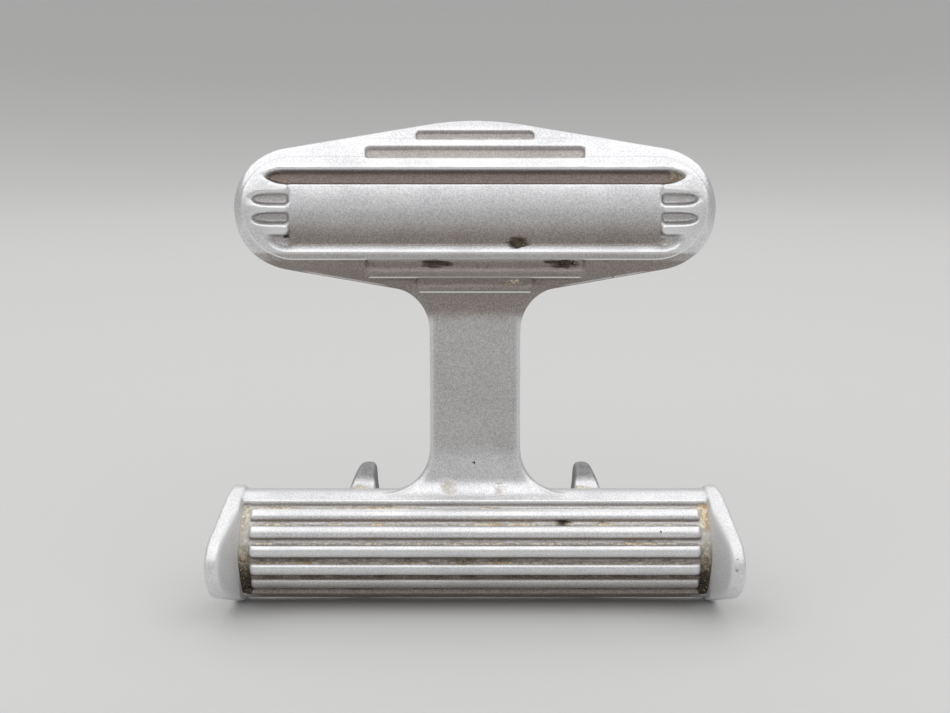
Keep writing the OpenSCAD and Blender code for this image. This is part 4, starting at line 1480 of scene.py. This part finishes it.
    def _carve(self, mesh: bpy.types.Mesh) -> np.ndarray:
        """Sinks the relief into the pad's face.

        Args:
            mesh: the eased skin.

        Returns:
            Depth at each vertex.
        """
        points = points_of(mesh)
        local, facing = self.axes.local(points), self.axes.local_turn(normals_of(mesh))
        arm = local[:, 1:] - np.array([self.pad_face_y, self.axes.pad_z])
        reach = np.maximum(np.linalg.norm(arm, axis=1), MM)
        outward = (arm * facing[:, 1:]).sum(axis=1) / reach
        front = step_over(outward, self.carve_facing) * (reach > self.border_r - self.rim_margin)
        front *= local[:, 2] > self.pad_foot
        depth = front * self.relief.depth(local[:, 0], local[:, 2] - self.axes.pad_z)
        local[:, 1:] -= arm / reach[:, None] * depth[:, None]
        share = np.where(depth > self.carve_least, self.carve_share, 0.0)
        set_points(mesh, relaxed(self.axes.part(local), edges_of(mesh), share, self.carve_rounds))
        return depth

    @staticmethod
    def _carry(mesh: bpy.types.Mesh, fine: np.ndarray, marks: dict[Mark, np.ndarray]) -> None:
        """Carries the marks of the fine skin over to the thinned one.

        Args:
            mesh: the thinned skin.
            fine: vertices of the fine skin.
            marks: values at those vertices.
        """
        tree = KDTree(len(fine))
        for index, point in enumerate(fine):
            tree.insert(point, index)
        tree.balance()
        nearest = np.array([tree.find(vertex.co)[1] for vertex in mesh.vertices])
        for mark, values in marks.items():
            layer = mesh.attributes.new(mark.value, "FLOAT", "POINT")
            layer.data.foreach_set("value", values[nearest].astype(np.float32))


@dataclass(frozen=True)
class CornerGrit:
    """Grains of sand in the dirtiest corners, scattered by a node tree."""

    density: float = 9.0e6
    grain: float = 0.2 * MM
    grain_sizes: Pair = (0.35, 1.15)
    spin: float = 6.3
    lowest: float = 0.72
    pale_span: Span = (0.05, 0.4)
    dark_share: float = 0.08
    seed: int = 7

    def build(self, casting: bpy.types.Object, material: bpy.types.Material) -> bpy.types.Object:
        """Scatters the grains over the casting.

        Args:
            casting: the dressed casting, whose grime mark sets where they lie.
            material: the grains' finish.

        Returns:
            The grains as one plain mesh.
        """
        piece = new_object("corner_grit", casting.data.copy())
        tree = bpy.data.node_groups.new("scatter_grit", "GeometryNodeTree")
        tree.is_modifier = True
        values = {
            "Density": (FLOAT_SOCKET, self.density),
            "Grain": (FLOAT_SOCKET, self.grain),
            "Seed": ("NodeSocketInt", self.seed),
        }
        tree.interface.new_socket("Geometry", in_out="INPUT", socket_type="NodeSocketGeometry")
        keys = {
            label: tree.interface.new_socket(label, in_out="INPUT", socket_type=kind).identifier
            for label, (kind, _) in values.items()
        }
        tree.interface.new_socket("Geometry", in_out="OUTPUT", socket_type="NodeSocketGeometry")
        self._scatter(Wires(tree), material)
        modifier = piece.modifiers.new("grit", "NODES")
        modifier.node_group = tree
        for label, (_, value) in values.items():
            modifier[keys[label]] = value
        settle(piece)
        return piece

    def _scatter(self, wires: Wires, material: bpy.types.Material) -> None:
        """Joins the nodes that lay small balls where the mesh is grimy and sandy.

        Args:
            wires: the tree, which has its sockets.
            material: the grains' finish.
        """
        into = wires.node("NodeGroupInput").outputs
        grime, tone = (
            wires.node("GeometryNodeInputNamedAttribute", {"Name": mark.value}, data_type="FLOAT").outputs[0]
            for mark in (Mark.GRIME, Mark.SAND)
        )
        rich = wires.ramp(grime, self.lowest, 1.0)
        pale = wires.ramp(tone, *self.pale_span, self.dark_share, 1.0)
        thick = wires.math("MULTIPLY", wires.math("MULTIPLY", rich, pale), into["Density"])
        scatter = wires.node(
            "GeometryNodeDistributePointsOnFaces",
            {"Mesh": into["Geometry"], "Density": thick, "Seed": into["Seed"]},
        )
        ball = wires.node("GeometryNodeMeshIcoSphere", {"Radius": into["Grain"], "Subdivisions": 1})
        least, most = self.grain_sizes
        size = wires.node(
            "FunctionNodeRandomValue",
            {2: least, 3: most, "Seed": into["Seed"]},
            data_type="FLOAT",
        )
        spin = wires.node(
            "FunctionNodeRandomValue",
            {0: (0.0, 0.0, 0.0), 1: (self.spin, self.spin, self.spin)},
            data_type="FLOAT_VECTOR",
        )
        grains = wires.node(
            "GeometryNodeInstanceOnPoints",
            {
                "Points": scatter.outputs["Points"],
                "Instance": ball.outputs["Mesh"],
                "Rotation": spin.outputs[0],
                "Scale": size.outputs[1],
            },
        )
        real = wires.node("GeometryNodeRealizeInstances", {"Geometry": grains.outputs[0]})
        finish = {"Geometry": real.outputs[0], "Material": material}
        coloured = wires.node("GeometryNodeSetMaterial", finish)
        wires.node("NodeGroupOutput", {"Geometry": coloured.outputs[0]})


# Hardware


@dataclass(frozen=True)
class EasedHardware:
    """Turned and stamped pieces, copied from the frame with their edges broken."""

    break_w: float = 0.22 * MM
    break_steps: int = 2
    flat_angle: float = math.radians(1.0)
    edge_angle: float = math.radians(40.0)

    def build(self, node: bpy.types.Object, name: str) -> bpy.types.Object:
        """Copies one piece and breaks its sharp edges.

        Args:
            node: the frame's piece.
            name: the new object's name.

        Returns:
            The eased piece without a material.
        """
        piece = merged_copy(node, name)
        skin = bmesh.new()
        skin.from_mesh(piece.data)
        bmesh.ops.dissolve_limit(skin, angle_limit=self.flat_angle, verts=skin.verts, edges=skin.edges)
        skin.to_mesh(piece.data)
        skin.free()
        bevel = piece.modifiers.new("break", "BEVEL")
        bevel.width = self.break_w
        bevel.segments = self.break_steps
        bevel.limit_method = "ANGLE"
        bevel.angle_limit = self.edge_angle
        bevel.use_clamp_overlap = True
        settle(piece)
        piece.data.shade_smooth()
        piece.data.set_sharp_from_angle(angle=self.edge_angle)
        return piece

    def stand_in(
        self,
        nodes: dict[str, bpy.types.Object],
        node: str,
        body: Body,
        slot: Slot,
        material: bpy.types.Material,
    ) -> None:
        """Makes one eased piece in place of its frame node.

        Args:
            nodes: the frame's nodes.
            node: name of the one that it stands for.
            body: what it moves with.
            slot: the record's material slot.
            material: its finish.
        """
        piece = self.build(nodes[node], f"{node}_eased")
        dress(piece, material)
        enlist(piece, body, slot, node)


# The studio


@dataclass(frozen=True)
class SoftLight:
    """An area light: where it hangs, its width and depth in metres, and its power in watts."""

    name: str
    place: Place
    wide: float
    deep: float
    power: float


@dataclass(frozen=True)
class Studio:
    """Paper sweep, soft lights and the camera."""

    lights: tuple[SoftLight, ...] = (
        SoftLight("soft_box", (0.0, -0.4, 1.25), 3.2, 2.5, 22.5),
        SoftLight("back_box", (0.0, 1.05, 1.0), 2.2, 0.9, 5.0),
    )
    picture: tuple[int, int] = (950, 713)
    focal_px: float = 1600.0
    sensor: float = 36.0
    clip: Pair = (0.01, 20.0)
    aim: Place = (0.0, -0.01663, 0.05414)
    pitch: float = math.radians(11.4)
    distance: float = 0.466
    floor_r: float = 1.2
    sweep_r: float = 2.4
    sweep_angle: float = math.radians(38.0)
    sweep_steps: int = 24
    turn_steps: int = 96
    world_grey: float = 0.48

    def build(self, ground: float) -> None:
        """Sets the whole stage.

        Args:
            ground: height of the floor.
        """
        self._sweep(ground)
        for light in self.lights:
            self._hang(light)
        self._world()
        self._camera()

    def _sweep(self, ground: float) -> None:
        """Lays the round floor whose rim curves up."""
        line = [(0.0, ground)]
        for step in range(self.sweep_steps + 1):
            angle = self.sweep_angle * step / self.sweep_steps
            reach = self.floor_r + self.sweep_r * math.sin(angle)
            line.append((reach, ground + self.sweep_r * (1.0 - math.cos(angle))))
        skin = bmesh.new()
        rim = [skin.verts.new((0.0, reach, height)) for reach, height in line]
        edges = [skin.edges.new(pair) for pair in zip(rim, rim[1:])]
        bmesh.ops.spin(
            skin,
            geom=rim + edges,
            axis=(0.0, 0.0, 1.0),
            cent=(0.0, 0.0, 0.0),
            angle=2.0 * math.pi,
            steps=self.turn_steps,
            use_duplicate=False,
            use_merge=True,
        )
        bmesh.ops.remove_doubles(skin, verts=skin.verts, dist=MM)
        bmesh.ops.recalc_face_normals(skin, faces=skin.faces)
        mesh = bpy.data.meshes.new("studio_sweep")
        skin.to_mesh(mesh)
        skin.free()
        mesh.shade_smooth()
        sweep = new_object("studio_sweep", mesh)
        dress(sweep, FloorFinish().make())
        sweep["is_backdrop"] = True

    def _hang(self, light: SoftLight) -> None:
        """Hangs one area light that looks at the object."""
        lamp = bpy.data.lights.new(light.name, "AREA")
        lamp.shape = "RECTANGLE"
        lamp.size = light.wide
        lamp.size_y = light.deep
        lamp.energy = light.power
        holder = bpy.data.objects.new(light.name, lamp)
        holder.location = light.place
        look = Vector(self.aim) - Vector(light.place)
        holder.rotation_euler = look.to_track_quat("-Z", "Y").to_euler()
        bpy.context.scene.collection.objects.link(holder)

    def _world(self) -> None:
        """Surrounds the stage with even grey light."""
        world = bpy.data.worlds.new("studio_air")
        world.use_nodes = True
        wires = Wires(world.node_tree)
        grey = self.world_grey
        air = wires.node("ShaderNodeBackground", {"Color": (grey, grey, grey, 1.0), "Strength": 1.0})
        wires.node("ShaderNodeOutputWorld", {"Surface": air.outputs[0]})
        bpy.context.scene.world = world

    def _camera(self) -> None:
        """Places the camera in front, looking down a little."""
        data = bpy.data.cameras.new("camera")
        data.sensor_fit = "HORIZONTAL"
        data.sensor_width = self.sensor
        data.lens = self.sensor * self.focal_px / self.picture[0]
        data.clip_start, data.clip_end = self.clip
        holder = bpy.data.objects.new("camera", data)
        back = Vector((0.0, -math.cos(self.pitch), math.sin(self.pitch)))
        holder.location = Vector(self.aim) + back * self.distance
        holder.rotation_euler = (0.5 * math.pi - self.pitch, 0.0, 0.0)
        bpy.context.scene.collection.objects.link(holder)
        bpy.context.scene.camera = holder


# Assembly


@dataclass(frozen=True)
class HingeHardware:
    """Shaft, bushes, thrust washers and retaining rings."""

    easing: EasedHardware = field(default_factory=EasedHardware)

    def build(self, nodes: dict[str, bpy.types.Object], effects: Effects) -> None:
        """Makes, dresses and places the pieces.

        Args:
            nodes: the frame's nodes.
            effects: the shared groups.
        """
        steel = TurnedFinish("ground_steel", (0.56, 0.57, 0.59, 1.0), (0.40, 0.40, 0.415, 1.0), 0.26)
        ground, turned = steel.make(effects), turned_bronze("turned_bronze").make(effects)
        self.easing.stand_in(nodes, "pivot_shaft", Body.PIVOT, Slot.STEEL, ground)
        for side in ("left", "right"):
            self.easing.stand_in(nodes, f"pivot_bush_{side}", Body.PEDAL, Slot.BRONZE, turned)
            self.easing.stand_in(nodes, f"thrust_washer_{side}", Body.PIVOT, Slot.BRONZE, turned)
            self.easing.stand_in(nodes, f"retaining_ring_{side}", Body.PIVOT, Slot.STEEL, ground)


@dataclass(frozen=True)
class BrakeLink:
    """Bush of the brake lug, and the clevis with its pin, washer and cotter."""

    easing: EasedHardware = field(default_factory=EasedHardware)

    def build(self, nodes: dict[str, bpy.types.Object], effects: Effects) -> None:
        """Makes, dresses and places the pieces.

        Args:
            nodes: the frame's nodes.
            effects: the shared groups.
        """
        low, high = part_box("brake_lug_bush")
        axis = tuple((low + high) / 2.0)
        steel = TurnedFinish("pin_steel", (0.58, 0.58, 0.6, 1.0), (0.42, 0.42, 0.43, 1.0), 0.28, axis)
        ground, turned = steel.make(effects), turned_bronze("lug_bronze", axis).make(effects)
        plated = PlatedFinish().make(effects)
        self.easing.stand_in(nodes, "brake_lug_bush", Body.PEDAL, Slot.BRONZE, turned)
        self.easing.stand_in(nodes, "brake_clevis", Body.BRAKE_LINK, Slot.PLATED_STEEL, plated)
        self.easing.stand_in(nodes, "clevis_pin", Body.BRAKE_LINK, Slot.STEEL, ground)
        for node in ("clevis_washer", "cotter_pin"):
            self.easing.stand_in(nodes, node, Body.BRAKE_LINK, Slot.PLATED_STEEL, plated)


def main() -> None:
    """Builds the pieces in order round the frame."""
    logging.basicConfig(level=logging.INFO, format="%(name)s: %(message)s")
    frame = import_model()
    cad_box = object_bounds()
    bpy.context.scene.view_settings.view_transform = "Standard"
    nodes = frame["nodes"]
    effects = Effects()
    casting = PedalCasting().build(nodes["pedal_casting"])
    dress(casting, CastAlloyFinish().make(effects))
    grit = CornerGrit().build(casting, GritFinish().make())
    enlist(casting, Body.PEDAL, Slot.CAST_ALLOY, "pedal_casting")
    enlist(grit, Body.PEDAL, None)
    HingeHardware().build(nodes, effects)
    BrakeLink().build(nodes, effects)
    Studio().build(cad_box[0].z)


if __name__ == "__main__":
    main()
